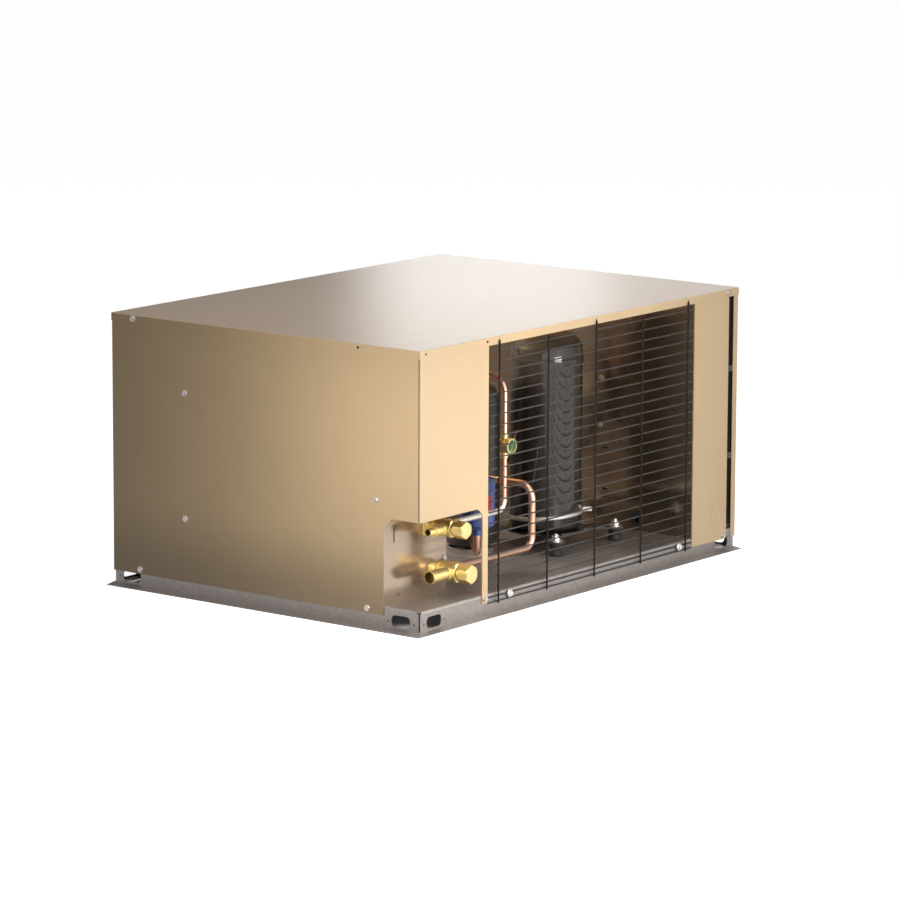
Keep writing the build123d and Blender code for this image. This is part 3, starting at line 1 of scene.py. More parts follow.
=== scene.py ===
# %% [markdown]
# # An outdoor refrigeration condensing unit
#
# The unit is a low sheet metal cabinet. A wire guard closes the front, and behind it stand a
# compressor, a receiver, a filter drier and copper pipework. Two brass service valves sit in a
# recess at the near corner.
#
# The solids come from the CAD frame, with every body where its joints put it. They could be left
# as they are, but a CAD solid is a mesh of loose flat triangles, so a round piece shows facets.
# This notebook gives every solid a finish, keeps the flat sheet metal, and replaces the round
# pieces by smooth surfaces that are worked out with numpy.

import math

import bmesh
import bpy
import numpy as np
from mathutils import Matrix, Vector


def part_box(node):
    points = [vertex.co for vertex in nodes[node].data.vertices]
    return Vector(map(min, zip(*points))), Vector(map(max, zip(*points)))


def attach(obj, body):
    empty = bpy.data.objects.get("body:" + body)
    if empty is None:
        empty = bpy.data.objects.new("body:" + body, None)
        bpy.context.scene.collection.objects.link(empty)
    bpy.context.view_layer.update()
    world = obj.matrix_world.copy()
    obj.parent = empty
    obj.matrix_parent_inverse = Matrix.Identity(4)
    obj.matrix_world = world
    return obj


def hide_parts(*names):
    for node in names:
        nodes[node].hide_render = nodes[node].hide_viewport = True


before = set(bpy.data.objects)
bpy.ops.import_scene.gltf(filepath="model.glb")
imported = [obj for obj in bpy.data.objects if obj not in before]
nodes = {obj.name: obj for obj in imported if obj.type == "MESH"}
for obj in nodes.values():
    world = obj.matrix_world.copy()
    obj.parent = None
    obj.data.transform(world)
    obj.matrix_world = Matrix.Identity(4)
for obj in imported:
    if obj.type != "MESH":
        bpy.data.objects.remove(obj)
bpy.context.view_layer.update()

# %% [markdown]
# ## Places
#
# A maker measures the cabinet from one corner of its top cover, in millimetres. Blender works in
# metres from the middle of the part. Every place could be converted by hand, but that hides the
# drawing's numbers, so the corner is read from the frame once, and two small functions go from
# cabinet millimetres to the frame and back.

# %% Cabinet corner
CORNER = np.array([*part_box("top_cover")[0][:2], 0.0])
MM = 0.001


def at(x, y, z):
    """Cabinet millimetres to metres in the frame: the corner plus the three distances."""
    return CORNER + MM * np.array([x, y, z], dtype=float)


def span(node):
    """Lowest and highest corner of a CAD node, back in cabinet millimetres."""
    low, high = (np.array(c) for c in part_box(node))
    return (low - CORNER) / MM, (high - CORNER) / MM


def middle(node):
    """Centre of a CAD node in cabinet millimetres: the mean of its two corners."""
    low, high = span(node)
    return (low + high) / 2


print("cover corner", CORNER.round(4))

# %% [markdown]
# ## The camera
#
# The view is from far off with a long lens, a little above the top cover, so that upright edges
# stay almost parallel. A Track To constraint could aim the camera, but it leaves no say over the
# small roll. The turn, tilt and roll are therefore three rotations, multiplied one after the
# other into the camera's own matrix.

# %% Camera
camera = bpy.data.objects.new("camera", bpy.data.cameras.new("camera"))
bpy.context.scene.collection.objects.link(camera)
bpy.context.scene.camera = camera
camera.data.sensor_width = 36.0
camera.data.lens = 191.14
camera.data.clip_end = 60.0
EYE = (-6.6226, -5.1100, 1.7406)
TURN, TILT, ROLL = -52.594, 10.372, 0.2555
camera.matrix_world = (
    Matrix.Translation(EYE)
    @ Matrix.Rotation(math.radians(TURN), 4, "Z")
    @ Matrix.Rotation(math.radians(90 - TILT), 4, "X")
    @ Matrix.Rotation(math.radians(ROLL), 4, "Z")
)
bpy.context.scene.view_settings.view_transform = "Standard"
print("camera turned", TURN, "tilted", TILT)

# %% [markdown]
# ## Floor and light
#
# The unit stands on a pale floor in a plain studio. One bright world would light it evenly and
# lose its shape. So the camera sees white, the light that falls on the object is weak, and soft
# area lamps do the modelling. Mirrors see a world that is bright to one side and dim to the
# other, because a glossy sheet looks right only if it has something to reflect.
#
# A node tree is easier to read when making a node, setting its numbers and joining it up is one
# line, so that comes first.

# %% Shader nodes
def add_node(tree, kind, feeds=None, operation=None):
    """New node of a kind in a tree. Each of its feeds is a socket's name or number, with the
    number that it holds or the output that is joined to it."""
    made = tree.nodes.new("ShaderNode" + kind)
    if operation:
        made.operation = operation
    for socket, feed in (feeds or {}).items():
        if isinstance(feed, bpy.types.NodeSocket):
            tree.links.new(feed, made.inputs[socket])
        else:
            made.inputs[socket].default_value = feed
    return made


# %% World
AMBIENT, MIRROR_BACK, MIRROR_FRONT = 0.046, 0.11, 1.4
BRIGHT_SIDE = (-0.72, -0.62, 0.32)
world = bpy.data.worlds.new("studio")
bpy.context.scene.world = world
world.use_nodes = True
sky = world.node_tree
rays = add_node(sky, "LightPath").outputs
way = add_node(sky, "TexCoord").outputs["Object"]
toward = add_node(sky, "VectorMath", {0: way, 1: BRIGHT_SIDE}, "DOT_PRODUCT")
facing = add_node(sky, "MapRange", {"Value": toward.outputs["Value"], "From Min": -0.6,
                                    "From Max": 0.8, "To Min": MIRROR_BACK,
                                    "To Max": MIRROR_FRONT})
facing.interpolation_type = "SMOOTHSTEP"
mirrors = add_node(sky, "Math", {0: rays["Is Glossy Ray"], 1: facing.outputs["Result"],
                                 2: AMBIENT}, "MULTIPLY_ADD")
clear = add_node(sky, "Math", {0: rays["Is Camera Ray"], 1: rays["Is Transmission Ray"]},
                 "MAXIMUM")
level = add_node(sky, "Math", {0: mirrors.outputs[0], 1: clear.outputs[0]}, "MAXIMUM")
background = sky.nodes["Background"]
background.inputs["Color"].default_value = (1.0, 0.995, 0.985, 1)
sky.links.new(level.outputs[0], background.inputs["Strength"])
print("world light", AMBIENT, "in mirrors", MIRROR_BACK, "to", MIRROR_FRONT)


# %% Softboxes
def softbox(name, place, target, size, power, colour=(1, 1, 1)):
    """Area lamp at place that faces target: its minus Z axis follows the line between them."""
    lamp = bpy.data.objects.new(name, bpy.data.lights.new(name, "AREA"))
    bpy.context.scene.collection.objects.link(lamp)
    lamp.data.shape = "RECTANGLE"
    lamp.data.size, lamp.data.size_y = size
    lamp.data.energy = power
    lamp.data.color = colour
    lamp.visible_camera = False
    line = np.array(target, dtype=float) - np.array(place, dtype=float)
    lamp.matrix_world = Matrix.Translation(place) @ (
        Vector(line).to_track_quat("-Z", "Y").to_matrix().to_4x4()
    )
    return lamp


WARM, PLAIN = (1.0, 0.97, 0.93), (1.0, 1.0, 1.0)
UNSEEN_IN_GLOSS = ("bay_lamp", "right_softbox")
LAMPS = {
    "front_softbox": ((-0.133, -0.998, 0.285), (-0.3, -0.33, 0.3), (0.4, 0.3), 5.35, WARM),
    "corner_softbox": ((-0.843, -0.35, 0.346), (-0.456, -0.25, 0.3), (0.3, 0.3), 1.8, WARM),
    "right_softbox": ((1.3, -2.2, 0.9), (0.2, -0.33, 0.25), (2.8, 2.2), 26.0, PLAIN),
    "overhead_softbox": ((-0.2, -0.6, 2.2), (0.0, -0.1, 0.3), (1.2, 1.2), 29.0, PLAIN),
    "back_softbox": ((1.88, 1.26, 0.98), (-0.15, -0.30, 0.478), (0.5, 0.35), 1.07, PLAIN),
    "rim_softbox": ((2.3, 1.0, 0.9), (0.1, -0.3, 0.478), (1.6, 0.3), 2.8, PLAIN),
    "bay_lamp": ((-0.20, 0.02, 0.36), (0.24, 0.19, 0.2), (0.1, 0.1), 5.8, (1, 0.9, 0.78)),
}
for name, (place, target, size, power, colour) in LAMPS.items():
    lamp = softbox(name, place, target, size, power, colour)
    lamp.visible_glossy = name not in UNSEEN_IN_GLOSS
print("lamps", len(bpy.data.lights))

# %% [markdown]
# A white floor could be a bright diffuse plane, but then its brightness hangs on the lamps. This
# one glows for the camera and, less, for glossy rays, and is plain grey to all others. Below the
# base pan it is dark, because no light reaches there. The mask takes the distance from the middle
# of the pan along each axis, and the glow is full where either one is past the pan's half.

# %% Floor
FLOOR_Z, FLOOR_HALF = -0.0005, 30.0
FLOOR_GLOW, SHADED_GLOW, FLOOR_MIRROR = 0.95, 0.02, 0.45
SHADE_INSIDE, SHADE_EDGE = 0.03, 0.005
floor_mesh = bpy.data.meshes.new("floor")
floor_mesh.from_pydata([(x * FLOOR_HALF, y * FLOOR_HALF, FLOOR_Z)
                        for x, y in ((-1, -1), (1, -1), (1, 1), (-1, 1))], [], [(0, 1, 2, 3)])
floor = bpy.data.objects.new("floor", floor_mesh)
bpy.context.scene.collection.objects.link(floor)
floor_paint = bpy.data.materials.new("studio_floor")
floor_paint.use_nodes = True
ground = floor_paint.node_tree
ground.nodes.clear()
pan_low, pan_high = (np.array(c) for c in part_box("base_pan"))
here = add_node(ground, "NewGeometry").outputs["Position"]
offset = add_node(ground, "VectorMath", {0: here, 1: (pan_low + pan_high) / 2}, "SUBTRACT")
away = add_node(ground, "VectorMath", {0: offset.outputs[0]}, "ABSOLUTE")
apart = add_node(ground, "SeparateXYZ", {0: away.outputs[0]}).outputs
masks = []
for axis, name in enumerate("XY"):
    half_pan = (pan_high - pan_low)[axis] / 2
    side = add_node(ground, "MapRange", {"Value": apart[name], "From Min": half_pan - SHADE_INSIDE,
                                         "From Max": half_pan - SHADE_EDGE,
                                         "To Min": SHADED_GLOW, "To Max": FLOOR_GLOW})
    masks.append(side.outputs["Result"])
mask = add_node(ground, "Math", {0: masks[0], 1: masks[1]}, "MAXIMUM")
glow = add_node(ground, "Emission", {"Strength": mask.outputs[0]})
soft = add_node(ground, "BsdfDiffuse", {"Color": (0.75, 0.75, 0.75, 1)})
plain = add_node(ground, "BsdfDiffuse", {"Color": (0.3, 0.3, 0.3, 1)})
lit = add_node(ground, "AddShader", {0: glow.outputs[0], 1: soft.outputs[0]})
rays = add_node(ground, "LightPath").outputs
seen = add_node(ground, "Math", {0: rays["Is Glossy Ray"], 1: FLOOR_MIRROR,
                                 2: rays["Is Camera Ray"]}, "MULTIPLY_ADD")
blend = add_node(ground, "MixShader", {0: seen.outputs[0], 1: plain.outputs[0], 2: lit.outputs[0]})
add_node(ground, "OutputMaterial", {"Surface": blend.outputs[0]})
floor_mesh.materials.append(floor_paint)
print("floor at", FLOOR_Z)

# %% [markdown]
# ## Finishes
#
# No real surface has one flat colour. Paint has soft clouds, metal has slow tarnish, and both
# have a fine grain that breaks up the gloss. Pictures could be laid on for this, but they need
# unwrapped meshes. Noise in object coordinates needs nothing and stays fixed to the metal.
#
# One small class holds a material's nodes. Its methods add a texture, a colour ramp or a relief,
# and numbers that are the same all over a surface go on the shader's own sockets.


# %% A finish builder
class Finish:
    """A material whose colour, roughness and bump come from procedural textures."""

    def __init__(self, name, metallic=0.0, coat=0.0, coat_roughness=0.1, specular=0.5):
        self.material = bpy.data.materials.new(name)
        self.material.use_nodes = True
        self.tree = self.material.node_tree
        self.shader = self.tree.nodes["Principled BSDF"]
        self.shader.inputs["Metallic"].default_value = metallic
        self.shader.inputs["Coat Weight"].default_value = coat
        self.shader.inputs["Coat Roughness"].default_value = coat_roughness
        self.shader.inputs["Specular IOR Level"].default_value = specular
        self.coords = add_node(self.tree, "TexCoord").outputs["Object"]

    def onto(self, output, socket):
        """Join an output to one of the shader's own sockets."""
        self.tree.links.new(output, self.shader.inputs[socket])

    def noise(self, scale, detail=3.0):
        """Cloudy noise: scale is the number of clouds in a metre."""
        return add_node(self.tree, "TexNoise", {"Vector": self.coords, "Scale": scale,
                                                "Detail": detail,
                                                "Roughness": 0.55}).outputs["Fac"]

    def cells(self, scale):
        """A value of its own for each flat cell, like the spangle of zinc."""
        return add_node(self.tree, "TexVoronoi",
                        {"Vector": self.coords, "Scale": scale}).outputs["Color"]

    def ramp(self, value, stops):
        """Blend of colours along a value: stops are (position, colour)."""
        ramp = add_node(self.tree, "ValToRGB", {"Fac": value})
        elements = ramp.color_ramp.elements
        while len(elements) < len(stops):
            elements.new(0.5)
        for element, (place, colour) in zip(elements, stops):
            element.position = place
            element.color = (*colour, 1)
        return ramp.outputs["Color"]

    def spread(self, value, from_low, from_high, low, high, smooth=False):
        """Value carried from one range to another in a straight line, or on a smooth step."""
        spread = add_node(self.tree, "MapRange", {"Value": value, "From Min": from_low,
                                                  "From Max": from_high, "To Min": low,
                                                  "To Max": high})
        if smooth:
            spread.interpolation_type = "SMOOTHSTEP"
        return spread.outputs["Result"]

    def colour(self, value, stops):
        """Base colour from a ramp over a texture."""
        self.onto(self.ramp(value, stops), "Base Color")

    def roughness(self, value, low, high):
        """Roughness between low and high as the texture goes from 0.3 to 0.7."""
        self.onto(self.spread(value, 0.3, 0.7, low, high), "Roughness")

    def bump(self, value, depth, strength=0.3):
        """Small relief, depth in metres."""
        relief = add_node(self.tree, "Bump", {"Height": value, "Strength": strength,
                                              "Distance": depth})
        self.onto(relief.outputs["Normal"], "Normal")


def shades(colour, change):
    """A darker, the plain and a lighter shade of a colour, for a ramp."""
    base = np.array(colour)
    return [(0.3, tuple(base * (1 - change))), (0.5, tuple(base)),
            (0.7, tuple(np.minimum(base * (1 + change), 1.0)))]


# %% [markdown]
# The casing is powder coated in a warm tan with a light shell gloss. The coat sits on the shader's
# coat sockets, over a fine orange peel in the bump and hardly any change of colour. Galvanised
# sheet shows faint spangle cells, which a Voronoi texture gives: one value for each cell.

# %% Painted sheet
TAN = (0.60, 0.437, 0.252)
# Greyer tan for the cover's level faces: painted shade and sheen for how the light falls on the top.
PAINTED_TOP_TAN = (0.60, 0.45, 0.32)
SHADE_FOOT, SHADE_TOP = 0.02, 0.17


def painted(name, painted_low_shade=1.0, painted_top_shade=1.0):
    """Tan powder coat. A low shade below 1 darkens it towards the ground, over the lowest 130 mm,
    as painted shade. A top shade below 1 gives its level faces a greyer, darker tan, painted shade
    and sheen for how the light falls on them, and a fuller, glossier coat."""
    paint = Finish(name, coat=0.45, coat_roughness=0.28)
    tan = paint.ramp(paint.noise(6, 2), shades(TAN, 0.03))
    if painted_top_shade < 1.0:
        normal = add_node(paint.tree, "NewGeometry").outputs["Normal"]
        upward = add_node(paint.tree, "SeparateXYZ", {0: normal}).outputs["Z"]
        level = paint.spread(upward, 0.85, 0.99, 0, 1)
        mix = paint.tree.nodes.new("ShaderNodeMix")
        mix.data_type = "RGBA"
        mix.inputs["B"].default_value = (*(painted_top_shade * np.array(PAINTED_TOP_TAN)), 1)
        paint.tree.links.new(level, mix.inputs["Factor"])
        paint.tree.links.new(tan, mix.inputs["A"])
        tan = mix.outputs["Result"]
        paint.onto(paint.spread(level, 0, 1, 0.45, 1.0), "Coat Weight")
        paint.onto(paint.spread(level, 0, 1, 0.28, 0.32), "Coat Roughness")
    if painted_low_shade < 1.0:
        height = add_node(paint.tree, "SeparateXYZ", {0: paint.coords}).outputs["Z"]
        painted_fade = paint.spread(height, SHADE_FOOT, SHADE_TOP, painted_low_shade, 1, smooth=True)
        tan = add_node(paint.tree, "VectorMath", {0: tan, "Scale": painted_fade}, "SCALE").outputs[0]
    paint.onto(tan, "Base Color")
    paint.roughness(paint.noise(40, 3), 0.38, 0.46)
    paint.bump(paint.noise(900, 2), 0.0002, 0.08)
    return paint


casing = painted("tan_powder_coat")
# The left panel's coat darkens towards the ground: painted shade.
casing_painted_low_shade = painted("tan_powder_coat_painted_low_shade", painted_low_shade=0.55)
# The top cover's coat gets a greyer, darker tan on its level faces: painted shade and sheen.
casing_painted_top_shade = painted("tan_powder_coat_painted_top_shade", painted_top_shade=0.78)
print("casing coats", [coat.material.name for coat in (casing, casing_painted_low_shade, casing_painted_top_shade)])

zinc = Finish("galvanised_sheet", metallic=0.75)
zinc.colour(zinc.cells(160), shades((0.35, 0.318, 0.302), 0.05))
zinc.roughness(zinc.noise(60, 3), 0.36, 0.5)
zinc.bump(zinc.noise(500, 2), 0.0001, 0.06)


# %% [markdown]
# Most other finishes differ only in their numbers: a colour and how far it changes over slow
# clouds, a range of roughness over a finer grain, and for some a small relief.

# %% Plain finishes
def clouded(name, colour, change, clouds, low, high, grain, relief=None, **shell):
    """A finish from numbers. Clouds and grain are (scale, detail) of a noise, relief is
    (scale, depth, strength), and shell holds metal, coat and specular level."""
    made = Finish(name, **shell)
    made.colour(made.noise(*clouds), shades(colour, change))
    made.roughness(made.noise(*grain), low, high)
    if relief:
        scale, depth, strength = relief
        made.bump(made.noise(scale, 2), depth, strength)
    return made


# %% Metal finishes
# The partition is a darker copy of the casing's tan, painted shade of the bay, under a satin metal
# gloss.
inner_casing_painted_shade = clouded("tan_inner_sheet_painted_shade", (0.30, 0.235, 0.17), 0.08, (6, 2), 0.10, 0.22, (25, 3),
                       (14, 0.0004, 0.10), metallic=0.85, coat=0.3)
brass = clouded("bright_brass", (0.84, 0.68, 0.31), 0.05, (30, 3), 0.38, 0.46, (120, 3),
                (2500, 0.00004, 0.1), metallic=1.0)
copper = clouded("drawn_copper", (0.82, 0.52, 0.38), 0.07, (28, 3), 0.28, 0.36, (90, 3),
                 (1200, 0.00004, 0.08), metallic=1.0)
braze = clouded("silver_braze", (0.96, 0.92, 0.84), 0.04, (200, 3), 0.38, 0.48, (200, 3),
                metallic=1.0)
# Dark brown for the stub bores: painted shade in the hollow, over tarnished brass.
bore_tarnish_and_shade = clouded("tarnished_bore_painted_shade", (0.17, 0.105, 0.025), 0.1, (200, 2), 0.5, 0.6, (200, 2),
                     specular=0.2)
# Light paint for the painted highlights on the pressed rims of the right front panel.
rim_highlight_paint = clouded("painted_rim_highlight", (0.90, 0.78, 0.62), 0.06, (200, 2), 0.25, 0.35, (200, 2),
                    metallic=0.3, coat=0.4)
bright_zinc = clouded("bright_zinc_plate", (0.92, 0.9, 0.87), 0.04, (150, 2), 0.3, 0.4, (150, 3),
                      metallic=1.0)
screw_zinc = clouded("dull_screw_zinc", (0.62, 0.59, 0.56), 0.06, (150, 2), 0.28, 0.38, (150, 3),
                     metallic=1.0)
satin_steel = clouded("satin_steel_strap", (0.72, 0.70, 0.67), 0.04, (150, 2), 0.42, 0.5,
                      (150, 3), metallic=0.8)
# The recess plate is satin metal whose darker tan is partly painted shade of the recess.
recess_metal_painted_shade = clouded("satin_recess_plate_painted_shade", (0.47, 0.37, 0.28), 0.03, (20, 2), 0.14, 0.19,
                       (60, 2), metallic=0.75)
fin_metal = clouded("aluminium_foil", (0.66, 0.67, 0.68), 0.08, (60, 2), 0.3, 0.45, (80, 2),
                    metallic=0.9)
blade_metal = clouded("pressed_aluminium", (0.55, 0.56, 0.57), 0.08, (30, 3), 0.28, 0.42,
                      (120, 3), metallic=0.9)
print("metals mixed, finishes so far", len(bpy.data.materials))

# %% Paints, rubber and plastic
# The first two are painted shade: brown in the corner groove, black in open joints, empty holes and
# slits.
groove_brown = clouded("shaded_groove", (0.30, 0.21, 0.13), 0.1, (20, 2), 0.7, 0.8, (60, 2),
                       specular=0.1)
shade_black = clouded("painted_shade_black", (0.012, 0.010, 0.009), 0.1, (20, 2), 0.7, 0.8, (60, 2),
                     specular=0.1)
upright_black = clouded("black_upright_coating", (0.016, 0.013, 0.011), 0.15, (80, 2), 0.55, 0.65,
                        (120, 2), specular=0.15)
guard_black = clouded("black_wire_coating", (0.035, 0.031, 0.028), 0.15, (80, 2), 0.42, 0.55,
                      (120, 2), coat=0.2)
enamel = clouded("black_gloss_enamel", (0.026, 0.022, 0.019), 0.1, (20, 3), 0.34, 0.42, (30, 3),
                 coat=1.0, coat_roughness=0.025, specular=0.2)
enamel.shader.inputs["Coat IOR"].default_value = 1.58
tank_grey = clouded("black_tank_paint", (0.032, 0.029, 0.026), 0.1, (20, 3), 0.3, 0.42, (40, 3),
                    coat=0.8, coat_roughness=0.04, specular=0.25)
blue = clouded("blue_gloss_paint", (0.045, 0.10, 0.34), 0.08, (60, 2), 0.25, 0.35, (90, 2),
               coat=0.7, coat_roughness=0.12)
red = clouded("red_band_paint", (0.5, 0.02, 0.02), 0.1, (60, 2), 0.3, 0.4, (90, 2), coat=0.5)
rubber = clouded("moulded_rubber", (0.018, 0.018, 0.018), 0.25, (90, 3), 0.55, 0.75, (90, 3),
                 (800, 0.0002, 0.2))
black_plastic = clouded("black_moulding", (0.03, 0.03, 0.032), 0.15, (90, 2), 0.4, 0.52, (150, 2),
                        (1500, 0.0001, 0.2))
grey_plastic = clouded("grey_moulding", (0.42, 0.43, 0.44), 0.06, (90, 2), 0.4, 0.5, (150, 2))
eye_green = clouded("green_indicator", (0.02, 0.12, 0.02), 0.3, (300, 2), 0.15, 0.25, (150, 2))
glass = clouded("clear_lens", (0.93, 0.97, 0.94), 0.02, (40, 1), 0.01, 0.03, (40, 1))
glass.shader.inputs["Transmission Weight"].default_value = 1.0
glass.shader.inputs["IOR"].default_value = 1.45
print("finishes", len(bpy.data.materials))

# %% Finishes of the CAD nodes
CAD_FINISH = {
    casing_painted_top_shade: ["top_cover"],
    casing: ["corner_panel", "right_front_panel", "end_panel", "rear_frame"],
    casing_painted_low_shade: ["left_panel"],
    recess_metal_painted_shade: ["valve_plate"],
    inner_casing_painted_shade: ["partition"],
    zinc: ["base_pan", "fan_shroud", "coil_end_plates", "receiver_stand", "capacitor_strap"],
    screw_zinc: ["lid_screws", "panel_screws", "end_panel_screws"],
    bright_zinc: ["compressor_bolts", "guard_screws", "valve_screws", "fan_shaft", "liquid_valve_stem",
                  "suction_valve_stem"],
    guard_black: ["motor_bracket"],
    rubber: ["compressor_mounts", "cable_grommet", "pipe_grommets"],
    black_plastic: ["terminal_cover", "contactor_body", "terminal_block"],
    grey_plastic: ["contactor_plunger", "pressure_control"],
    fin_metal: ["run_capacitor"],
    enamel: ["compressor_shell", "compressor_foot", "fan_motor"],
    tank_grey: ["receiver"],
    blade_metal: ["fan_blades"],
}
for finish, names in CAD_FINISH.items():
    for name in names:
        mesh = nodes[name].data
        mesh.materials.clear()
        mesh.materials.append(finish.material)
print("CAD nodes with a finish", sum(len(n) for n in CAD_FINISH.values()))

# %% [markdown]
# ## Surfaces
#
# Most pieces here are turned on a lathe or bent from tube. Blender's Spin and Curve tools could
# make them, but a grid of points is quicker and says exactly where each point lies. A turned
# piece is a profile carried round an axis, and a pipe is a circle carried along a path. Each
# function works on whole arrays and returns points and faces, and several of them can be joined
# into one mesh.


# %% Grids and turned forms
def grid_faces(rows, columns, closed=True):
    """Quads between neighbouring rows of a grid; a closed grid joins its last column to the first."""
    wide = columns if closed else columns - 1
    r, c = np.meshgrid(np.arange(rows - 1), np.arange(wide), indexing="ij")
    nxt = (c + 1) % columns
    quads = [r * columns + c, r * columns + nxt, (r + 1) * columns + nxt, (r + 1) * columns + c]
    return np.stack(quads, axis=-1).reshape(-1, 4)


def axes_of(direction):
    """Two unit vectors across a direction, from cross products with a skew vector."""
    d = np.array(direction, dtype=float)
    d /= np.linalg.norm(d)
    skew = np.array([0, 0, 1.0]) if abs(d[2]) < 0.9 else np.array([1.0, 0, 0])
    u = np.cross(skew, d)
    u /= np.linalg.norm(u)
    return u, np.cross(d, u), d


def turned(profile, origin, direction, sides=64, outline=None):
    """Points p = origin + h d + r (u cos a + v sin a) for each (h, r) of the profile in mm, with r
    cut back to outline(a) where one is given. Both ends run to the axis."""
    u, v, d = axes_of(direction)
    h, r = np.array(profile, dtype=float).T
    angle = np.arange(sides) * 2 * np.pi / sides
    ring = r[:, None] + 0 * angle
    if outline is not None:
        ring = np.minimum(ring, outline(angle))
    points = (np.array(origin) + MM * (h[:, None, None] * d + (ring * np.cos(angle))[..., None] * u
                                       + (ring * np.sin(angle))[..., None] * v))
    points = points.reshape(-1, 3)
    quads = grid_faces(len(h), sides)
    return points, quads.tolist()


def hexagon(across_flats, turn=0.0):
    """Outline of a hexagon: half the flats distance over the cosine of the angle from a flat."""
    sector = np.pi / 3

    def outline(angle):
        off = np.mod(angle + turn, sector) - sector / 2
        return across_flats / 2 / np.cos(off)

    return outline


def rounded_path(points, radii, steps=10):
    """Corner points in mm replaced by arcs: each arc runs between the points where its circle
    touches the two runs, at radius times the tangent of half the turn from the corner."""
    points = [np.array(p, dtype=float) for p in points]
    out = [points[0]]
    for before, corner, after, radius in zip(points, points[1:], points[2:], radii):
        a = (before - corner) / np.linalg.norm(before - corner)
        b = (after - corner) / np.linalg.norm(after - corner)
        half = math.acos(np.clip(a @ b, -1, 1)) / 2
        reach = radius / math.tan(half)
        centre = corner + (a + b) / np.linalg.norm(a + b) * radius / math.sin(half)
        first, last = corner + a * reach - centre, corner + b * reach - centre
        sweep = np.pi - 2 * half
        t = np.linspace(0, 1, steps)[:, None]
        arc = (np.sin((1 - t) * sweep) * first + np.sin(t * sweep) * last) / math.sin(sweep)
        out.extend(centre + arc)
    out.append(points[-1])
    return np.array(out)


def pipe(path, radius, sides=24):
    """Circle carried along a path in mm: p = path + r (n cos a + b sin a), where n and b lie across
    the tangent, from cross products with a fixed skew vector. The ends close on the path."""
    tangent = np.gradient(path, axis=0)
    tangent /= np.linalg.norm(tangent, axis=1, keepdims=True)
    skew = np.array([0.37, 0.53, 0.76])
    n = np.cross(tangent, skew)
    n /= np.linalg.norm(n, axis=1, keepdims=True)
    b = np.cross(tangent, n)
    angle = np.arange(sides) * 2 * np.pi / sides
    r = np.broadcast_to(np.asarray(radius, dtype=float), (len(path),))[:, None, None]
    ring = np.cos(angle)[None, :, None] * n[:, None] + np.sin(angle)[None, :, None] * b[:, None]
    points = path[:, None] + r * ring
    count = len(path) * sides
    points = np.vstack([points.reshape(-1, 3), path[:1], path[-1:]])
    faces = grid_faces(len(path), sides).tolist()
    c = np.arange(sides)
    nxt = (c + 1) % sides
    faces += np.stack([nxt, c, np.full(sides, count)], axis=1).tolist()
    top = (len(path) - 1) * sides
    faces += np.stack([top + c, top + nxt, np.full(sides, count + 1)], axis=1).tolist()
    return CORNER + MM * points, faces


def joined(*parts):
    """Several (points, faces) as one: each face number moves up by the points before it."""
    points, faces, base = [], [], 0
    for p, f in parts:
        points.append(p)
        faces.extend([[i + base for i in face] for face in f])
        base += len(p)
    return np.vstack(points), faces


# %% [markdown]
# A finished grid becomes a piece in one place, so that no step is forgotten. The points go into a
# mesh, doubles at the poles are merged, and normals are turned outwards, which has to wait for the
# merge. Edges sharper than a chosen angle stay sharp. The piece then rides on a body of the frame.


# %% Make a piece
def piece(name, shape, finish, body, replaces=(), sharp=35.0, bevel=0.0):
    """Mesh object from (points, faces), riding on a body, in a finish and a material slot."""
    points, faces = shape
    mesh = bpy.data.meshes.new(name)
    mesh.from_pydata(points.tolist(), [], faces)
    work = bmesh.new()
    work.from_mesh(mesh)
    bmesh.ops.remove_doubles(work, verts=work.verts, dist=2e-6)
    bmesh.ops.dissolve_degenerate(work, edges=work.edges, dist=1e-6)
    bmesh.ops.recalc_face_normals(work, faces=work.faces)
    work.to_mesh(mesh)
    work.free()
    mesh.shade_smooth()
    mesh.set_sharp_from_angle(angle=math.radians(sharp))
    mesh.materials.append(finish.material)
    obj = bpy.data.objects.new(name, mesh)
    bpy.context.scene.collection.objects.link(obj)
    if bevel:
        edge = obj.modifiers.new("soft_edges", "BEVEL")
        edge.width = bevel
        edge.segments = 2
        edge.limit_method = "ANGLE"
    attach(obj, body)
    if replaces:
        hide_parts(*replaces)
    print(name, len(mesh.polygons), "faces")
    return obj


# %% [markdown]
# ## The wire guard
#
# The guard is a welded grid of black coated wire that keeps hands out and lets air in. Cross wires
# run behind five uprights, and three uprights end in points that hook in front of the cover's
# edge. A Wireframe modifier on a plane would put all wires in one plane. Here each wire is a short
# turned profile, so the two layers touch as welded wires do, and the ends are slightly rounded.

# %% Guard wires
guard_low, guard_high = span("front_guard")
CROSS_R, UPRIGHT_R = 1.3, 1.6
cross_y = guard_high[1] - CROSS_R
upright_y = guard_low[1] + UPRIGHT_R


def wire(start, end, radius, tip=0.6):
    """Straight wire in mm with chamfered ends: a turned profile along the line."""
    start, end = np.array(start, dtype=float), np.array(end, dtype=float)
    length = np.linalg.norm(end - start)
    profile = [(0, 0), (0, radius - tip), (tip, radius), (length - tip, radius),
               (length, radius - tip), (length, 0)]
    return turned(profile, CORNER + MM * start, end - start, sides=14)


def pointed(foot, top, radius, point=9.0):
    """Upright wire whose top is drawn out to a point."""
    length = top[2] - foot[2]
    profile = [(0, 0), (0, radius - 0.5), (0.5, radius), (length - point, radius),
               (length - point + 1.5, radius + 0.5), (length - 1, 0.5), (length, 0)]
    return turned(profile, CORNER + MM * np.array(foot, dtype=float), (0, 0, 1), sides=14)


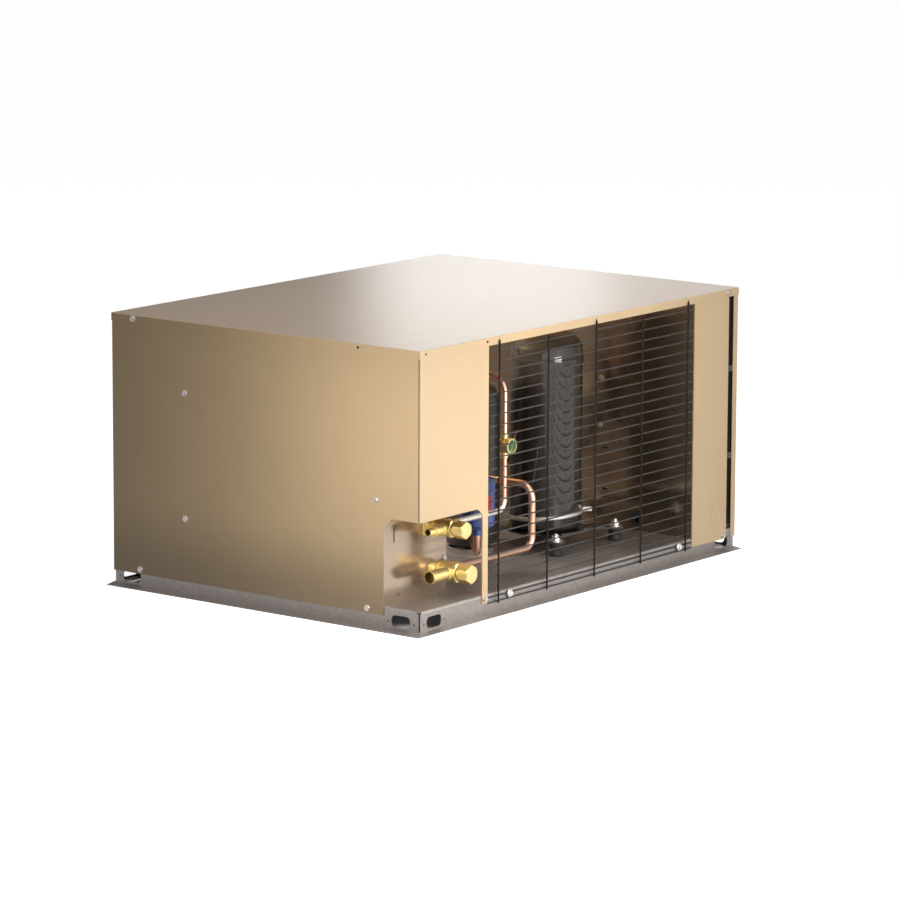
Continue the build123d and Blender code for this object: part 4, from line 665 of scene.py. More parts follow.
COVER_BOTTOM = span("top_cover")[0][2]
UPRIGHTS, FIRST_UPRIGHT, UPRIGHT_PITCH = 5, 216.0, 140.0
LOW_WIRES, FIRST_CROSS, CROSS_PITCH, CROSSES = [20.0, 29.3], 47.0, 18.5, 23
uprights = []
for i in range(UPRIGHTS):
    x = FIRST_UPRIGHT + UPRIGHT_PITCH * i
    foot = (x, upright_y, guard_low[2])
    if i % 2 == 0:
        uprights.append(pointed(foot, (x, upright_y, guard_high[2]), UPRIGHT_R))
    else:
        uprights.append(wire(foot, (x, upright_y, COVER_BOTTOM - 2), UPRIGHT_R))
cross_z = LOW_WIRES + [FIRST_CROSS + CROSS_PITCH * i for i in range(CROSSES)]
crossing = [wire((guard_low[0], cross_y, z), (guard_high[0], cross_y, z), CROSS_R)
            for z in cross_z]
piece("guard_wires", joined(*crossing), guard_black, "guard",
      replaces=["front_guard"])
piece("guard_uprights", joined(*uprights), upright_black, "guard")

# %% [markdown]
# ## Service valves
#
# A service valve is a brass forging with turned ends. The fitter joins the field pipe to its stub,
# and opens it with a key under the cap. The bowl lies along the stem, the field stub points to the
# left, and the unit's own pipe leaves to the right.
#
# Booleans could cut these forms from cylinders, but they leave ragged faces that shade badly. All
# of them are turned profiles instead. A hexagon is the same profile cut back by a six-sided
# outline, which gives the curved chamfer that a lathe leaves on a nut.

# %% Valve sizes
LIQUID_R, SUCTION_R = 4.76, 6.35
VALVES = {
    "liquid": dict(x=132.0, z=155.0, bowl=15.0, stub=10.0, tip=6.75, bore=4.85, end=77.5,
                   pipe=LIQUID_R, hexagon=26.8),
    "suction": dict(x=148.0, z=76.5, bowl=17.0, stub=11.2, tip=11.2, bore=9.6, end=82.0,
                    pipe=SUCTION_R, hexagon=29.3),
}
STUB_Y, PORT_Y, PLATE_Y = 43.5, 64.0, 79.0
CAP_FRONT, CAP_BACK = 3.0, 27.0
print("valve stubs end at", [valve["end"] for valve in VALVES.values()], "mm from the left panel")

# %% Valve bodies
for name, v in VALVES.items():
    ax = at(v["x"], 0, v["z"])
    r, gland = v["bowl"], v["hexagon"] / 2 - 3.0
    bowl = turned([(CAP_FRONT + 12, 0), (CAP_FRONT + 12, gland - 0.6), (CAP_FRONT + 12.6, gland),
                   (CAP_BACK + 1, gland), (CAP_BACK + 1.2, r - 2.2), (CAP_BACK + 3, r - 1.4),
                   (STUB_Y - 14, r - 0.4), (STUB_Y - 10, r), (PORT_Y + 1, r), (PORT_Y + 5, r - 1.5),
                   (72, r - 3), (78.9, r - 3), (78.9, 0)], ax, (0, 1, 0), sides=96)
    nut = turned([(CAP_BACK + 1.2, 0), (CAP_BACK + 1.2, r - 1.5), (CAP_BACK + 2.2, r + 1.5),
                  (CAP_BACK + 8, r + 1.5), (CAP_BACK + 9, r - 0.5), (CAP_BACK + 9, 0)],
                 ax, (0, 1, 0), sides=96, outline=hexagon(2 * r - 1.2))
    reach = v["x"] - v["end"]
    step = reach - 15.0
    stub = [(4, 0), (4, v["stub"]), (step, v["stub"])]
    if v["tip"] < v["stub"]:
        stub += [(step, v["tip"] + 1.4), (step + 3, v["tip"] + 1.4), (step + 3, v["tip"]),
                 (reach - 0.5, v["tip"])]
    else:
        stub += [(reach - 0.5, v["stub"])]
    stub += [(reach, v["tip"] - 0.5), (reach, v["bore"]), (reach - 14, v["bore"]), (reach - 14, 0)]
    field = turned(stub, at(v["x"], STUB_Y, v["z"]), (-1, 0, 0), sides=72)
    collar = turned([(r - 1.5, 0), (r - 1.5, v["stub"] + 1.4), (r + 2.5, v["stub"] + 1.4),
                     (r + 4, v["stub"]), (r + 4, 0)], at(v["x"], STUB_Y, v["z"]), (-1, 0, 0),
                    sides=72)
    port = turned([(4, 0), (4, v["pipe"] + 4.2), (22, v["pipe"] + 4.2), (24, v["pipe"] + 3.4),
                   (33.4, v["pipe"] + 3.4), (34, v["pipe"] + 2.8), (34, v["pipe"] + 0.1),
                   (26, v["pipe"] + 0.1), (26, 0)],
                  at(v["x"], PORT_Y, v["z"]), (1, 0, 0), sides=72)
    piece(f"{name}_valve_forging", joined(bowl, nut, field, collar, port), brass, "cabinet")
    # A dark liner in the field stub's bore: painted shade in the hollow, over tarnished brass.
    skin, deep = v["bore"] - 0.08, reach - 13.9
    liner = turned([(deep, 0), (deep, skin), (reach + 0.04, skin), (reach + 0.04, v["tip"] - 0.9),
                    (reach + 0.14, v["tip"] - 0.9), (reach + 0.14, skin - 0.12),
                    (deep + 0.2, skin - 0.12), (deep + 0.2, 0)],
                   at(v["x"], STUB_Y, v["z"]), (-1, 0, 0), sides=72)
    piece(f"{name}_bore_liner_tarnish_and_shade", liner, bore_tarnish_and_shade, "cabinet")

# %% [markdown]
# Each valve is bolted to the recess plate by a flat foot with rounded corners. A plate is the one
# form that isn't turned, so it gets its own function: an outline, and the same outline moved by
# the thickness. A Bevel modifier breaks the edges, as a forging's are never sharp.

# %% Valve feet
def slab(outline, origin, u, v, w, thickness):
    """Flat plate: the outline in mm on axes u and v, and the same outline moved by the thickness
    along w."""
    flat = np.array(outline, dtype=float)
    u, v, w = (np.array(a, dtype=float) for a in (u, v, w))
    face = np.array(origin) + MM * (flat[:, :1] * u + flat[:, 1:] * v)
    n = len(flat)
    c = np.arange(n)
    sides = np.stack([c, (c + 1) % n, (c + 1) % n + n, c + n], axis=1).tolist()
    return np.vstack([face, face + MM * thickness * w]), [list(c[::-1]), list(c + n), *sides]


def round_rectangle(width, height, radius, steps=6):
    """Closed outline with quarter circles of one radius in its corners."""
    t = np.linspace(0, np.pi / 2, steps)
    corners = []
    for k, (sx, sy) in enumerate(((1, 1), (-1, 1), (-1, -1), (1, -1))):
        centre = np.array([sx * (width / 2 - radius), sy * (height / 2 - radius)])
        a = t + k * np.pi / 2
        corners.append(centre + radius * np.stack([np.cos(a), np.sin(a)], axis=1))
    return np.vstack(corners)


for name, v in VALVES.items():
    foot = slab(round_rectangle(44, 28, 6), at(v["x"] - 6, PLATE_Y, v["z"]), (1, 0, 0), (0, 0, 1),
                (0, -1, 0), 6.0)
    piece(f"{name}_valve_foot", foot, brass, "cabinet",
          replaces=[f"{name}_valve_body"], bevel=0.0006)

# %% [markdown]
# The cap is a deep hexagon nut, closed at the front, that screws over the stem and keeps it clean.
# Its profile goes down the outside, across the mouth and back up inside, so it is hollow, and it
# rides on its own body, because it comes off.

# %% Valve caps
for name, v in VALVES.items():
    af, depth = v["hexagon"], CAP_BACK - CAP_FRONT
    top = af / 2
    cap = turned([(0, 0), (0, top + 0.6), (0.7, top + 2.4), (depth - 4, top + 2.4),
                  (depth - 3, top - 0.6), (depth, top - 0.6), (depth, top - 2.6),
                  (3, top - 2.6), (3, 0)], at(v["x"], CAP_FRONT, v["z"]), (0, 1, 0), sides=120,
                 outline=hexagon(af, turn=math.radians(30)))
    piece(f"{name}_cap_hexagon", cap, brass, f"{name}_cap",
          replaces=[f"{name}_valve_cap"], sharp=28)

# %% [markdown]
# ## Pipework
#
# The pipes are soft drawn copper, bent on a former, so every bend is a true arc. A Bezier curve
# with a bevel could draw them, but its bends are not round. The corner points of a run are listed
# as a fitter would measure them, each corner is replaced by an arc, and a circle is carried along
# the result.

# %% Pipe runs
LIQ_X, LIQ_Z = VALVES["liquid"]["x"], VALVES["liquid"]["z"]
SUC_X, SUC_Z = VALVES["suction"]["x"], VALVES["suction"]["z"]
RISER_X, DRIER_Y, GLASS_Z, LIQ_TOP = 319.0, 122.0, 268.0, 389.0
SUC_RISER_X, SUC_RUN_Z, RETURN_Y = 400.5, 187.0, 330.0
LOOP_Y, LOOP_TOP = 354.0, 376.0
COMP = middle("compressor_foot")
INLET_X = COMP[0] - 25
TANK = middle("receiver_stand")
coil_low, coil_high = span("coil_fins")
COIL_X, ROWS = coil_high[0] + 1.5, (617.0, 639.0)
LEVELS = np.linspace(56.0, 446.0, 8).tolist()
PIPE_X, BACK_Y, HOT, COLD = 927.0, 560.0, (640.0, 446.0), (548.0, 66.0)
OUTLET_Z = 69.0
outlet_dir = np.array([RISER_X - TANK[0], DRIER_Y - TANK[1], 0.0])
outlet_dir /= np.linalg.norm(outlet_dir)
OUTLET = (TANK[0] + 58 * outlet_dir[0], TANK[1] + 58 * outlet_dir[1], OUTLET_Z)
COMP_TOP = 420.0
RUNS = {
    "liquid_line": [
        (LIQUID_R, [18], [
            (LIQ_X + 26, PORT_Y, LIQ_Z), (RISER_X, PORT_Y, LIQ_Z),
            (RISER_X, PORT_Y, GLASS_Z - 18)]),
        (LIQUID_R, [28.9, 28.9], [
            (RISER_X, PORT_Y, GLASS_Z + 18), (RISER_X, PORT_Y, LIQ_TOP),
            (RISER_X, DRIER_Y, LIQ_TOP), (RISER_X, DRIER_Y, 220)])],
    "receiver_line": [
        (SUCTION_R, [18], [
            (RISER_X, DRIER_Y, 103.5), (RISER_X, DRIER_Y, OUTLET_Z), OUTLET])],
    "suction_line": [
        (SUCTION_R, [20, 27, 24, 20], [
            (SUC_X + 26, PORT_Y, SUC_Z), (SUC_RISER_X, PORT_Y, SUC_Z),
            (SUC_RISER_X, PORT_Y, SUC_RUN_Z), (SUC_RISER_X, RETURN_Y, SUC_RUN_Z),
            (INLET_X, RETURN_Y, SUC_RUN_Z), (INLET_X, COMP[1] + 64, SUC_RUN_Z)])],
    "discharge_line": [
        (LIQUID_R, [10, 18, 18, 9], [
            (HOT[0], COMP[1], COMP_TOP), (HOT[0], COMP[1], HOT[1]), (HOT[0], BACK_Y, HOT[1]),
            (PIPE_X, BACK_Y, HOT[1]), (PIPE_X, ROWS[1], HOT[1]), (COIL_X, ROWS[1], HOT[1])])],
    "condensate_line": [
        (LIQUID_R, [9, 9, 18, 18, 18, 18, 18], [
            (COIL_X, ROWS[1], LEVELS[0]), (PIPE_X, ROWS[1], LEVELS[0]),
            (PIPE_X, BACK_Y, LEVELS[0]), (COLD[0], BACK_Y, COLD[1]), (COLD[0], LOOP_Y, COLD[1]),
            (COLD[0], LOOP_Y, LOOP_TOP), (TANK[0], LOOP_Y, LOOP_TOP),
            (TANK[0], TANK[1], LOOP_TOP), (TANK[0], TANK[1], 350)])],
}
for name, runs in RUNS.items():
    shapes = [pipe(rounded_path(points, bends, steps=12), radius) for radius, bends, points in runs]
    piece(f"{name}_tube", joined(*shapes), copper, "cabinet", replaces=[name])

# %% [markdown]
# Where two pipes meet, silver alloy is melted into the gap, and a bright ring is left. It could be
# painted on the copper by a mask, but it also stands proud, so it is a short sleeve that tapers
# onto the pipe at both ends. The alloy has run along the liquid pipe beside its valve.

# %% Brazed sleeves
def sleeve(place, direction, pipe_r, length=9.0, swell=1.3):
    """Short ring that tapers onto the pipe at both ends."""
    return turned([(0, 0), (0, pipe_r + 0.2), (1.2, pipe_r + swell), (length - 1.2, pipe_r + swell),
                   (length, pipe_r + 0.2), (length, 0)], at(*place), direction, sides=40)


silver_run = rounded_path([(LIQ_X + 34.5, PORT_Y, LIQ_Z), (RISER_X, PORT_Y, LIQ_Z),
                           (RISER_X, PORT_Y, LIQ_Z + 22)], [18], steps=12)
piece("brazed_joints", joined(
    pipe(silver_run, LIQUID_R + 0.07),
    sleeve((LIQ_X + 34.1, PORT_Y, LIQ_Z), (1, 0, 0), LIQUID_R, 5),
    sleeve((SUC_X + 34.1, PORT_Y, SUC_Z), (1, 0, 0), SUCTION_R, 12, 1.7),
    sleeve((TANK[0], TANK[1], 350.1), (0, 0, 1), LIQUID_R, 5),
    sleeve((RISER_X, DRIER_Y, 220.1), (0, 0, 1), LIQUID_R, 5),
    sleeve((INLET_X, COMP[1] + 72.1, SUC_RUN_Z), (0, 1, 0), SUCTION_R, 5),
    sleeve((HOT[0], COMP[1], COMP_TOP + 8.1), (0, 0, 1), LIQUID_R, 5)),
    braze, "cabinet")

# %% [markdown]
# The sight glass shows whether bubbles run in the liquid pipe. It is a brass body on the pipe, a
# green disc that changes with moisture, and a lens over it. They are three pieces, because each
# has its own finish: brass, flat green and clear glass with a small gap behind it.

# %% Sight glass
SIGHT = (RISER_X, PORT_Y, GLASS_Z)
stem = turned([(-22, 0), (-22, 5.6), (-21, 6.4), (-12, 6.4), (-11, 8.6), (11, 8.6), (12, 6.4),
               (21, 6.4), (22, 5.6), (22, 0)], at(*SIGHT), (0, 0, 1), sides=72)
eye = turned([(0, 0), (0, 13), (8, 13), (9.5, 14), (16.2, 14), (17, 13.2), (17, 11.4), (14, 10.6),
              (14, 0)], at(*SIGHT), (0, -1, 0), sides=96)
piece("sight_glass_housing", joined(stem, eye), brass, "cabinet",
      replaces=["sight_glass_body"])
disc = turned([(14.02, 0), (14.02, 10.4), (14.4, 10.4), (14.6, 5.2), (14.9, 5.0), (14.9, 0)],
              at(*SIGHT), (0, -1, 0), sides=72)
piece("moisture_indicator", disc, eye_green, "cabinet")
lens = turned([(15.1, 0), (15.1, 10.9), (15.9, 10.9), (16.4, 6.0), (16.5, 0)], at(*SIGHT),
              (0, -1, 0), sides=72)
piece("sight_glass_window", lens, glass, "cabinet", replaces=["sight_glass_lens"])

# %% [markdown]
# The drier is a steel shell, spun down to the pipe at both ends and painted blue, with a red patch
# on its side. The patch is a small curved grid just outside the shell, which keeps its edge
# crisp, where a mask in the blue paint would be soft.

# %% Filter drier
drier_low, drier_high = (span("filter_drier")[k][2] for k in (0, 1))
shell = turned([(drier_low, 0), (drier_low, 8.4), (drier_low + 9, 8.8), (drier_low + 11, 12),
                (drier_low + 13.5, 20), (drier_low + 16, 27), (drier_low + 18.5, 30.2),
                (drier_low + 21, 31), (drier_high - 21, 31), (drier_high - 18.5, 30.2),
                (drier_high - 16, 27), (drier_high - 13.5, 20), (drier_high - 11, 12),
                (drier_high - 9, 8.8), (drier_high, 8.4), (drier_high, 0)],
               at(RISER_X, DRIER_Y, 0), (0, 0, 1), sides=128)
piece("drier_shell", shell, blue, "cabinet", replaces=["filter_drier"])
PATCH_R, PATCH_TURN, PATCH_Z = 31.15, (-140, -88), (151, 177)
turn, rise = np.meshgrid(np.radians(np.linspace(*PATCH_TURN, 27)), np.linspace(*PATCH_Z, 3))
patch = np.stack([RISER_X + PATCH_R * np.cos(turn), DRIER_Y + PATCH_R * np.sin(turn), rise],
                 axis=-1)
patch_mesh = (CORNER + MM * patch.reshape(-1, 3), grid_faces(3, 27, closed=False).tolist())
piece("drier_patch", patch_mesh, red, "cabinet")

# %% [markdown]
# The receiver is a tank that stores spare liquid. It is a plain cylinder with domed ends, a pipe
# seat on top, an outlet low on its side, and a lap seam below its upper dome. All of it is turned,
# and the seam is a thin ring that overlaps the tank's wall.

# %% Receiver
base_z, top_z = 48.0, 342.0
tank = turned([(base_z, 0), (base_z, 30), (base_z + 3, 38), (base_z + 10, 45.5), (base_z + 16, 48),
               (top_z - 26, 48), (top_z - 16, 46), (top_z - 6, 38), (top_z - 1.5, 26), (top_z, 10),
               (top_z, 8.5), (top_z + 8, 8.5), (top_z + 8, 0)], at(TANK[0], TANK[1], 0), (0, 0, 1),
              sides=128)
outlet = turned([(40, 0), (40, 9.5), (49, 9.5), (51, 8.5), (58, 8.5), (58, 0)],
                at(TANK[0], TANK[1], OUTLET_Z), outlet_dir, sides=48)
seam = turned([(top_z - 30, 47.5), (top_z - 29, 49), (top_z - 25, 49), (top_z - 24, 47.5),
               (top_z - 30, 47.5)], at(TANK[0], TANK[1], 0), (0, 0, 1), sides=128)
piece("receiver_tank", joined(tank, outlet, seam), tank_grey, "cabinet",
      replaces=["receiver"])

# %% [markdown]
# ## Compressor
#
# The hermetic compressor is a tall enamelled can with a domed top. Its two halves meet in a welded
# lap below the dome. A scaled sphere for the dome would be too round, so the profile lists the
# real shape: straight wall, tight shoulder, nearly flat crown. It has many sides, because its
# gloss shows the guard's wires, and a facet would break every line.

# %% Compressor can
centre = at(COMP[0], COMP[1], 0)
can = turned([(63, 0), (63, 52), (65, 59), (69, 63.5), (74, 65), (COMP_TOP - 56, 65),
              (COMP_TOP - 54, 66.2), (COMP_TOP - 46, 66.2), (COMP_TOP - 45, 65), (COMP_TOP - 28, 64),
              (COMP_TOP - 16, 59), (COMP_TOP - 7, 48), (COMP_TOP - 2, 33), (COMP_TOP - 0.5, 18),
              (COMP_TOP, 0)], centre, (0, 0, 1), sides=160)
hot = turned([(COMP_TOP - 30, 0), (COMP_TOP - 30, 10), (COMP_TOP - 4, 10), (COMP_TOP - 2, 9),
              (COMP_TOP + 8, 9), (COMP_TOP + 8, 4.86), (COMP_TOP, 4.86), (COMP_TOP, 0)],
             at(HOT[0], COMP[1], 0), (0, 0, 1), sides=48)
inlet = turned([(50, 0), (50, 12), (64, 12), (66, 10), (72, 10), (72, 6.43), (64, 6.43), (64, 0)],
               at(INLET_X, COMP[1], SUC_RUN_Z), (0, 1, 0), sides=48)
piece("compressor_can", joined(can, hot, inlet), enamel, "cabinet",
      replaces=["compressor_shell"])

# %% [markdown]
# A band heater hugs the can near its foot and keeps the oil warm. It is an open strap that ends in
# two ears, pulled together by a screw, and it sits a little askew, as they do. A Bevel on a circle
# would close it, so the strap's section is carried round an arc that stops short.

# %% Band heater
def arc_band(radius, z, height, thick, start, stop, sides=120):
    """Curved strap: a rectangle of height and thickness carried round an arc of the given radius."""
    angle = np.linspace(math.radians(start), math.radians(stop), sides)
    rz = np.array([(radius, -height / 2), (radius + thick * 0.6, -height / 2),
                   (radius + thick, -height / 4), (radius + thick, height / 4),
                   (radius + thick * 0.6, height / 2), (radius, height / 2)])
    points = np.stack([rz[None, :, 0] * np.cos(angle)[:, None],
                       rz[None, :, 0] * np.sin(angle)[:, None],
                       z + rz[None, :, 1] + 0 * angle[:, None]], axis=-1)
    rows, cols = points.shape[:2]
    faces = grid_faces(rows, cols).tolist()
    faces += [list(range(cols)), list(range((rows - 1) * cols, rows * cols))[::-1]]
    return points.reshape(-1, 3), faces


HEATER_Z, EAR_TURN, HEATER_RISE = 90.0, math.radians(-50), math.tan(math.radians(4))
ear_dir = np.array([math.cos(EAR_TURN), math.sin(EAR_TURN), 0])
ear_side = np.array([-ear_dir[1], ear_dir[0], 0])
points, faces = arc_band(65.1, HEATER_Z, 7.6, 3.6, -47.5, 307.5)
points[:, 2] += HEATER_RISE * (points @ ear_dir)
heater = (centre + MM * points, faces)
ears = []
for offset in (-2.4, 0.8):
    ears.append(slab(round_rectangle(18, 7.6, 2),
                     centre + MM * (75.0 * ear_dir + offset * ear_side
                                    + np.array([0, 0, HEATER_Z + 75.0 * HEATER_RISE])),
                     ear_dir, (0, 0, 1), ear_side, 1.6))
pinch = centre + MM * (77.0 * ear_dir - 2.4 * ear_side
                       + np.array([0, 0, HEATER_Z + 77.0 * HEATER_RISE]))
clamp = turned([(0, 0), (0, 3.1), (2.2, 3.1), (2.2, 1.6), (8.5, 1.6), (8.5, 0)],
               pinch - MM * 2.2 * ear_side, ear_side, sides=24)
piece("band_heater", joined(heater, *ears, clamp), satin_steel, "cabinet",
      replaces=["crankcase_heater"], bevel=0.0003)

# %% [markdown]
# Four rubber mounts carry the foot, so that the pan doesn't hum. Each is a grommet with a waist,
# under a washer and a nut on a stud. They are alike, so a loop places them, and the bright nuts
# are a piece of their own, because they are what catches the light.

# %% Mounts and nuts
rubber_shapes, nut_shapes = [], []
MOUNT_AT = 90
for sx in (-MOUNT_AT, MOUNT_AT):
    for sy in (-MOUNT_AT, MOUNT_AT):
        place = at(COMP[0] + sx, COMP[1] + sy, 0)
        rubber_shapes.append(turned([(36, 0), (36, 11.6), (36.6, 12), (43.5, 12), (44.4, 11.4),
                                     (46, 10.6), (48, 10.6), (49.6, 11.4), (50.5, 12), (59.4, 12),
                                     (60, 11.6), (60, 0)], place, (0, 0, 1), sides=48))
        washer = turned([(63, 0), (63, 12), (63.8, 12), (64.4, 11), (65.2, 7.5), (65.2, 0)], place,
                        (0, 0, 1), sides=48)
        nut = turned([(65, 0), (65, 7.6), (65.8, 8.4), (70.4, 8.4), (71.2, 7.2), (71.2, 0)], place,
                     (0, 0, 1), sides=48, outline=hexagon(13))
        thread = turned([(71, 0), (71, 4), (74, 4), (75, 3.2), (75, 0)], place, (0, 0, 1), sides=32)
        head = turned([(28.8, 0), (28.8, 7), (29.5, 8), (34.6, 8), (34.8, 7), (34.8, 0)], place,
                      (0, 0, 1), sides=32)
        nut_shapes += [washer, nut, thread, head]
piece("rubber_mounts", joined(*rubber_shapes), rubber, "cabinet",
      replaces=["compressor_mounts"])
piece("mount_nuts", joined(*nut_shapes), bright_zinc, "cabinet",
      replaces=["compressor_bolts"])

# %% [markdown]
# ## Painted shade in the seams
#
# Dark strips close the open joints of the casing from inside, so a joint is seen as a dark line:
# they are painted shade, because shadow alone would leave it half lit, since the bay behind is
# not black. The strips lie behind the sheets, and the two tabs of the end panel pass in front of
# the wide one.

# %% Shade strips
seam_left, seam_right = span("right_front_panel")[1][0], 925.5
SEAM_SHADE_Z, CORNER_SHADE_Z = (46.0, 466.0), (189.0, 474.0)


def strip(x0, x1, y, z0, z1, depth):
    """Upright strip from x0 to x1 and z0 to z1, with its front face at y."""
    return slab([(x0, z0), (x1, z0), (x1, z1), (x0, z1)], at(0, y, 0), (1, 0, 0), (0, 0, 1),
                (0, 1, 0), depth)


# Both strips are painted shade in the open joints.
piece("seam_shade_strip", strip(seam_left - 6, seam_right + 4, 5.2, *SEAM_SHADE_Z, 0.8), shade_black,
      "cabinet")
piece("corner_shade_strip", strip(1.8, 2.8, 1.8, *CORNER_SHADE_Z, 3.4), groove_brown, "cabinet")

# %% [markdown]
# The pan's upper edge is a tight bend that catches a bright line. Rounding the whole solid would
# mean a change to a CAD mesh, so a very thin rod of bright steel lies along the bend as a painted
# highlight.

# %% Painted highlight on the pan's bend
pan_front = span("base_pan")[0][1] + 24.0
bend = wire((8, pan_front + 0.15, 32.4), (930, pan_front + 0.15, 32.4), 0.5, 0.2)
piece("pan_bend_highlight", bend, satin_steel, "cabinet")

# %% [markdown]
# The cover has spare holes with no screw in them, and the pan has pin holes beside its lifting
# slots and an open slit at its corner. Seen from outside each is plain black with the shade inside
# it, so a thin dark disc closes it as painted shade, and the slit is a dark rod of painted shade.

# %% Painted shade in empty holes
HOLE_Z = span("top_cover")[1][2] - 6.5


def shade_spot(x, y, z, direction, radius):
    """Thin dark disc that closes a hole from outside: painted shade."""
    return turned([(0, 0), (0, radius), (0.12, radius), (0.12, 0)], at(x, y, z), direction,
                  sides=24)


HOLE_R, LEFT_HOLE_Y, FRONT_HOLES_X = 2.3, 132.6, (14.4, 184.0)
holes = [shade_spot(0, LEFT_HOLE_Y, HOLE_Z, (-1, 0, 0), HOLE_R)]
holes += [shade_spot(x, 0, HOLE_Z, (0, -1, 0), HOLE_R) for x in FRONT_HOLES_X]
piece("empty_hole_shade", joined(*holes), shade_black, "lid")
SKIRT = 3.0
corner_slit = wire((SKIRT + 0.3, SKIRT + 0.3, 2), (SKIRT + 0.3, SKIRT + 0.3, 33), 1.15)
PIN_Z, PINS = 12.5, (15.0, 70.0)
pins = [shade_spot(pin, SKIRT, PIN_Z, (0, -1, 0), 1.5) for pin in PINS]
pins += [shade_spot(SKIRT, pin, PIN_Z, (-1, 0, 0), 1.5) for pin in PINS]
piece("pan_slit_shade", joined(corner_slit, *pins), shade_black, "cabinet")

# %% [markdown]
# The knock-out and the dimples of the right front panel are pressed, and their rims catch bright
# highlights. Each highlight is painted as an arc of very thin, light wire on the panel's face. A bump
# could suggest it, but not the bright line. The two tabs get dark faces, as they stand in the shade
# of the seam.

# %% Painted rim highlights
FACE_Y = span("right_front_panel")[0][1]


def rim(x, z, radius, first, last, wire_r=0.32):
    """Arc of thin light wire on the panel's face: a painted highlight on a pressed edge."""
    a = np.radians(np.linspace(first, last, 40))
    return pipe(np.stack([x + radius * np.cos(a), FACE_Y - 0.05 + 0 * a,
                          z + radius * np.sin(a)], axis=1), wire_r, sides=8)


KNOCK_OUT, DIMPLES = (876.5, 62.5, 11.2), ((877, 80), (892.5, 44.5), (822, 70))
rim_glints = [rim(*KNOCK_OUT, -60, 100), rim(*KNOCK_OUT, 140, 200, 0.2)]
rim_glints += [rim(x, z, 2.4, -80, 130, 0.4) for x, z in DIMPLES]
piece("rim_highlights", joined(*rim_glints), rim_highlight_paint, "cabinet")
TABS_Z = (171.0, 331.0)
tab_outline = round_rectangle(seam_right - seam_left - 0.4, 8.6, 0.5)
tabs = [slab(tab_outline, at((seam_left + seam_right) / 2, 2.85, z), (1, 0, 0), (0, 0, 1),
             (0, 1, 0), 0.1) for z in TABS_Z]
piece("tab_faces", joined(*tabs), tank_grey, "end")

# %% [markdown]
# ## Condenser coil
#
# The coil is two rows of copper tube through hundreds of thin aluminium plates, where the hot gas
# gives up its heat. A striped texture on a box would do from far off, but light has to pass
# between the plates. So each plate is a shallow wave, a few faces deep, and whole arrays repeat it
# along the coil. A Solidify modifier gives it the gauge of the foil.

# %% Sheets of one gauge
def gauged(name, points, faces, finish, thickness, body, replaced):
    """Open sheets that a Solidify modifier gives their gauge, half on each side."""
    mesh = bpy.data.meshes.new(name)
    mesh.from_pydata(points.tolist(), [], faces)
    mesh.shade_smooth()
    mesh.materials.append(finish.material)
    obj = bpy.data.objects.new(name, mesh)
    bpy.context.scene.collection.objects.link(obj)
    gauge = obj.modifiers.new("gauge", "SOLIDIFY")
    gauge.thickness = thickness
    gauge.offset = 0
    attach(obj, body)
    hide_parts(replaced)
    print(name, len(mesh.polygons), "faces")


# %% Fin plates
FIN_PITCH = 3.0
fin_x = np.arange(coil_low[0] + 1, coil_high[0] - 1, FIN_PITCH)
fin_y = np.linspace(coil_low[1], coil_high[1], 9)
wave = 0.5 * np.sin(np.linspace(0, 4 * np.pi, len(fin_y)))
X = fin_x[:, None, None] + wave[None, :, None] + np.zeros(2)
Y = np.broadcast_to(fin_y[None, :, None], X.shape)
Z = np.broadcast_to(np.array([coil_low[2], coil_high[2]])[None, None, :], X.shape)
fin_points = (CORNER + MM * np.stack([X, Y, Z], axis=-1)).reshape(-1, 3)
k, j = np.meshgrid(np.arange(len(fin_x)), np.arange(8), indexing="ij")
start = k * 18 + j * 2
fin_faces = np.stack([start, start + 2, start + 3, start + 1], axis=-1).reshape(-1, 4).tolist()
gauged("fin_plates", fin_points, fin_faces, fin_metal, 0.00025, "cabinet",
       "coil_fins")

# %% [markdown]
# The tubes run through the plates from end to end. At the left they turn back in half circles, and
# at the right they step up a level, so the gas passes through every tube once.

# %% Coil tubes
tube_shapes = [wire((coil_low[0] - 1.4, row, level), (coil_high[0] + 1.4, row, level), 4.7)
               for row in ROWS for level in LEVELS]
piece("coil_tubes", joined(*tube_shapes), copper, "cabinet")
bends = []
BEND_X, ROW_GAP = 24.0, ROWS[1] - ROWS[0]
for level in LEVELS:
    t = np.linspace(0, np.pi, 17)
    arc = np.stack([BEND_X - ROW_GAP / 2 * np.sin(t),
                    sum(ROWS) / 2 - ROW_GAP / 2 * np.cos(t), level + 0 * t], axis=1)
    path = np.vstack([[BEND_X + 6, ROWS[0], level], arc, [BEND_X + 6, ROWS[1], level]])
    bends.append(pipe(path, 4.8, sides=18))
piece("return_bends", joined(*bends), copper, "cabinet",
      replaces=["coil_return_bends"])
crossovers = []
for i in range(len(LEVELS) - 1):
    row = ROWS[i % 2]
    corners = [(COIL_X, row, LEVELS[i]), (COIL_X + 16, row, LEVELS[i]),
               (COIL_X + 16, row, LEVELS[i + 1]), (COIL_X, row, LEVELS[i + 1])]
    crossovers.append(pipe(rounded_path(corners, [10, 10]), 4.8, sides=18))
piece("crossover_tubes", joined(*crossovers), copper, "cabinet",
      replaces=["coil_crossovers"])

# %% [markdown]
# ## Fan
#
# Five pressed blades are riveted to a spider on the motor shaft. A blade could be a bent and
# twisted plane, but then its angles are guesses. Here it is a formula: its angle falls from root
# to tip, as it must where the tip moves faster, its chord grows, and its leading edge sweeps
# forward. The sheet gets its thickness from a Solidify modifier, after all five are made.

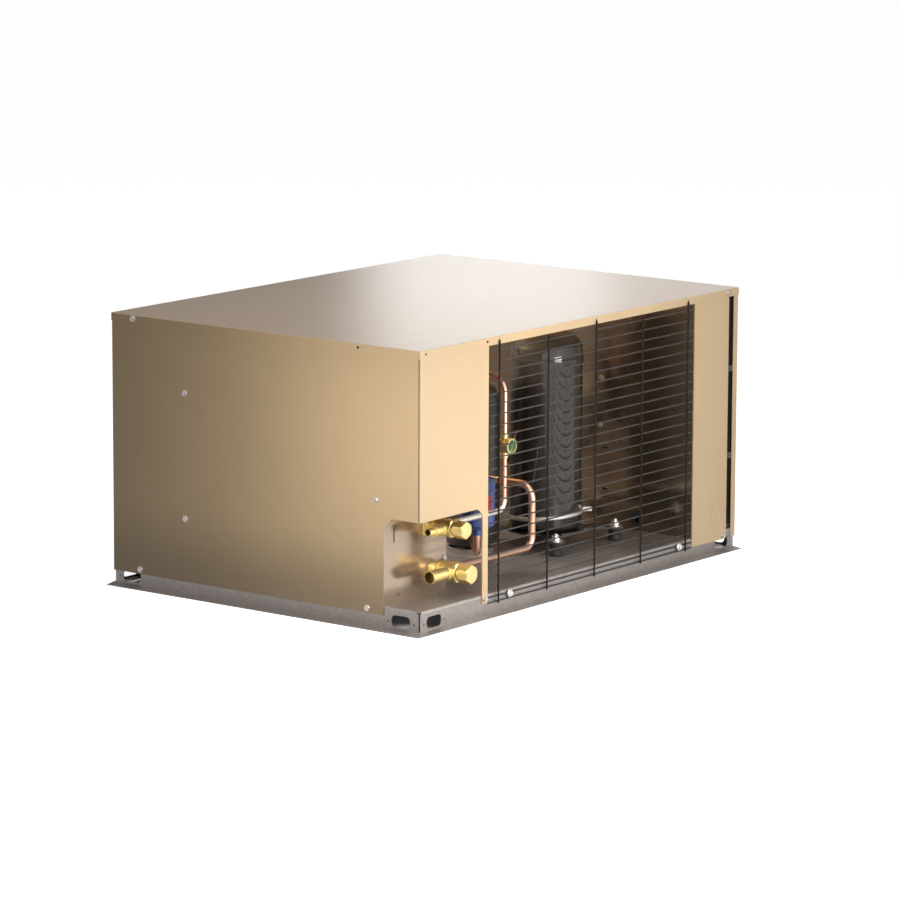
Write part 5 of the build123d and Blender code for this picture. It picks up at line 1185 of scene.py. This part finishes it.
# %% Fan blades
FAN, BLADES = (400.0, 498.0, 252.0), 5
ROOT_R, TIP_R = 38.0, 176.0
s_count, c_count = 22, 15
s = np.linspace(0, 1, s_count)[:, None]
c = np.linspace(-0.5, 0.5, c_count)[None, :]
radius = ROOT_R + (TIP_R - ROOT_R) * s
chord = 56 + 66 * s
pitch = np.radians(44 - 21 * s)
sweep_angle = np.radians(16 * s**1.5) + c * chord * np.cos(pitch) / radius
rounding = 1 - 0.06 * (2 * c) ** 4 * s
blade_r = radius * rounding
depth = -c * chord * np.sin(pitch) + 5 * (1 - (2 * c) ** 2) * (0.4 + s * 0.6)
blade_parts = []
for i in range(BLADES):
    a = sweep_angle + 2 * np.pi * i / BLADES
    points = np.stack([FAN[0] + blade_r * np.cos(a), FAN[1] + depth,
                       FAN[2] - blade_r * np.sin(a)], axis=-1).reshape(-1, 3)
    blade_parts.append((CORNER + MM * points, grid_faces(s_count, c_count, closed=False).tolist()))
points, faces = joined(*blade_parts)
gauged("fan_blade_sheets", points, faces, blade_metal, 0.0016, "fan",
       "fan_blades")

# %% [markdown]
# The spider is a pressed cup round a bored hub. It closes on itself as a ring does, so its profile
# ends where it starts. Two rivets hold each blade.

# %% Fan hub
hub = turned([(-22, 5), (-22, 13), (-8, 13), (-8, 40), (-6.5, 42), (10, 42), (12, 40), (12, 16),
              (26, 14), (26, 5), (-22, 5)], at(*FAN), (0, 1, 0), sides=72)
rivets = []
for i in range(BLADES):
    for reach in (31, 37):
        a = 2 * np.pi * i / BLADES + 0.12
        rivets.append(turned([(-10.4, 0), (-10, 2), (-9, 3), (-7.8, 3), (-7.8, 0)],
                             at(FAN[0] + reach * math.cos(a), FAN[1], FAN[2] - reach * math.sin(a)),
                             (0, 1, 0), sides=16))
piece("fan_hub", joined(hub, *rivets), blade_metal, "fan")

# %% [markdown]
# The motor is a closed drum with rounded shoulders, enamelled black against the weather. It stays
# with the cabinet while the fan turns, so its bore leaves room for the shaft.

# %% Fan motor
motor_low, motor_high = span("fan_motor")
front, back = motor_low[1], motor_high[1]
case = turned([(front, 0), (front, 30), (front + 2, 36), (front + 8, 44), (front + 14, 47),
               (front + 20, 48), (back - 14, 48), (back - 9, 46), (back - 4, 38), (back - 1, 20),
               (back, 16), (back, 5.05), (back - 36, 5.05), (back - 36, 0)],
              at(FAN[0], 0, FAN[2]), (0, 1, 0), sides=112)
piece("motor_case", case, enamel, "cabinet", replaces=["fan_motor"])
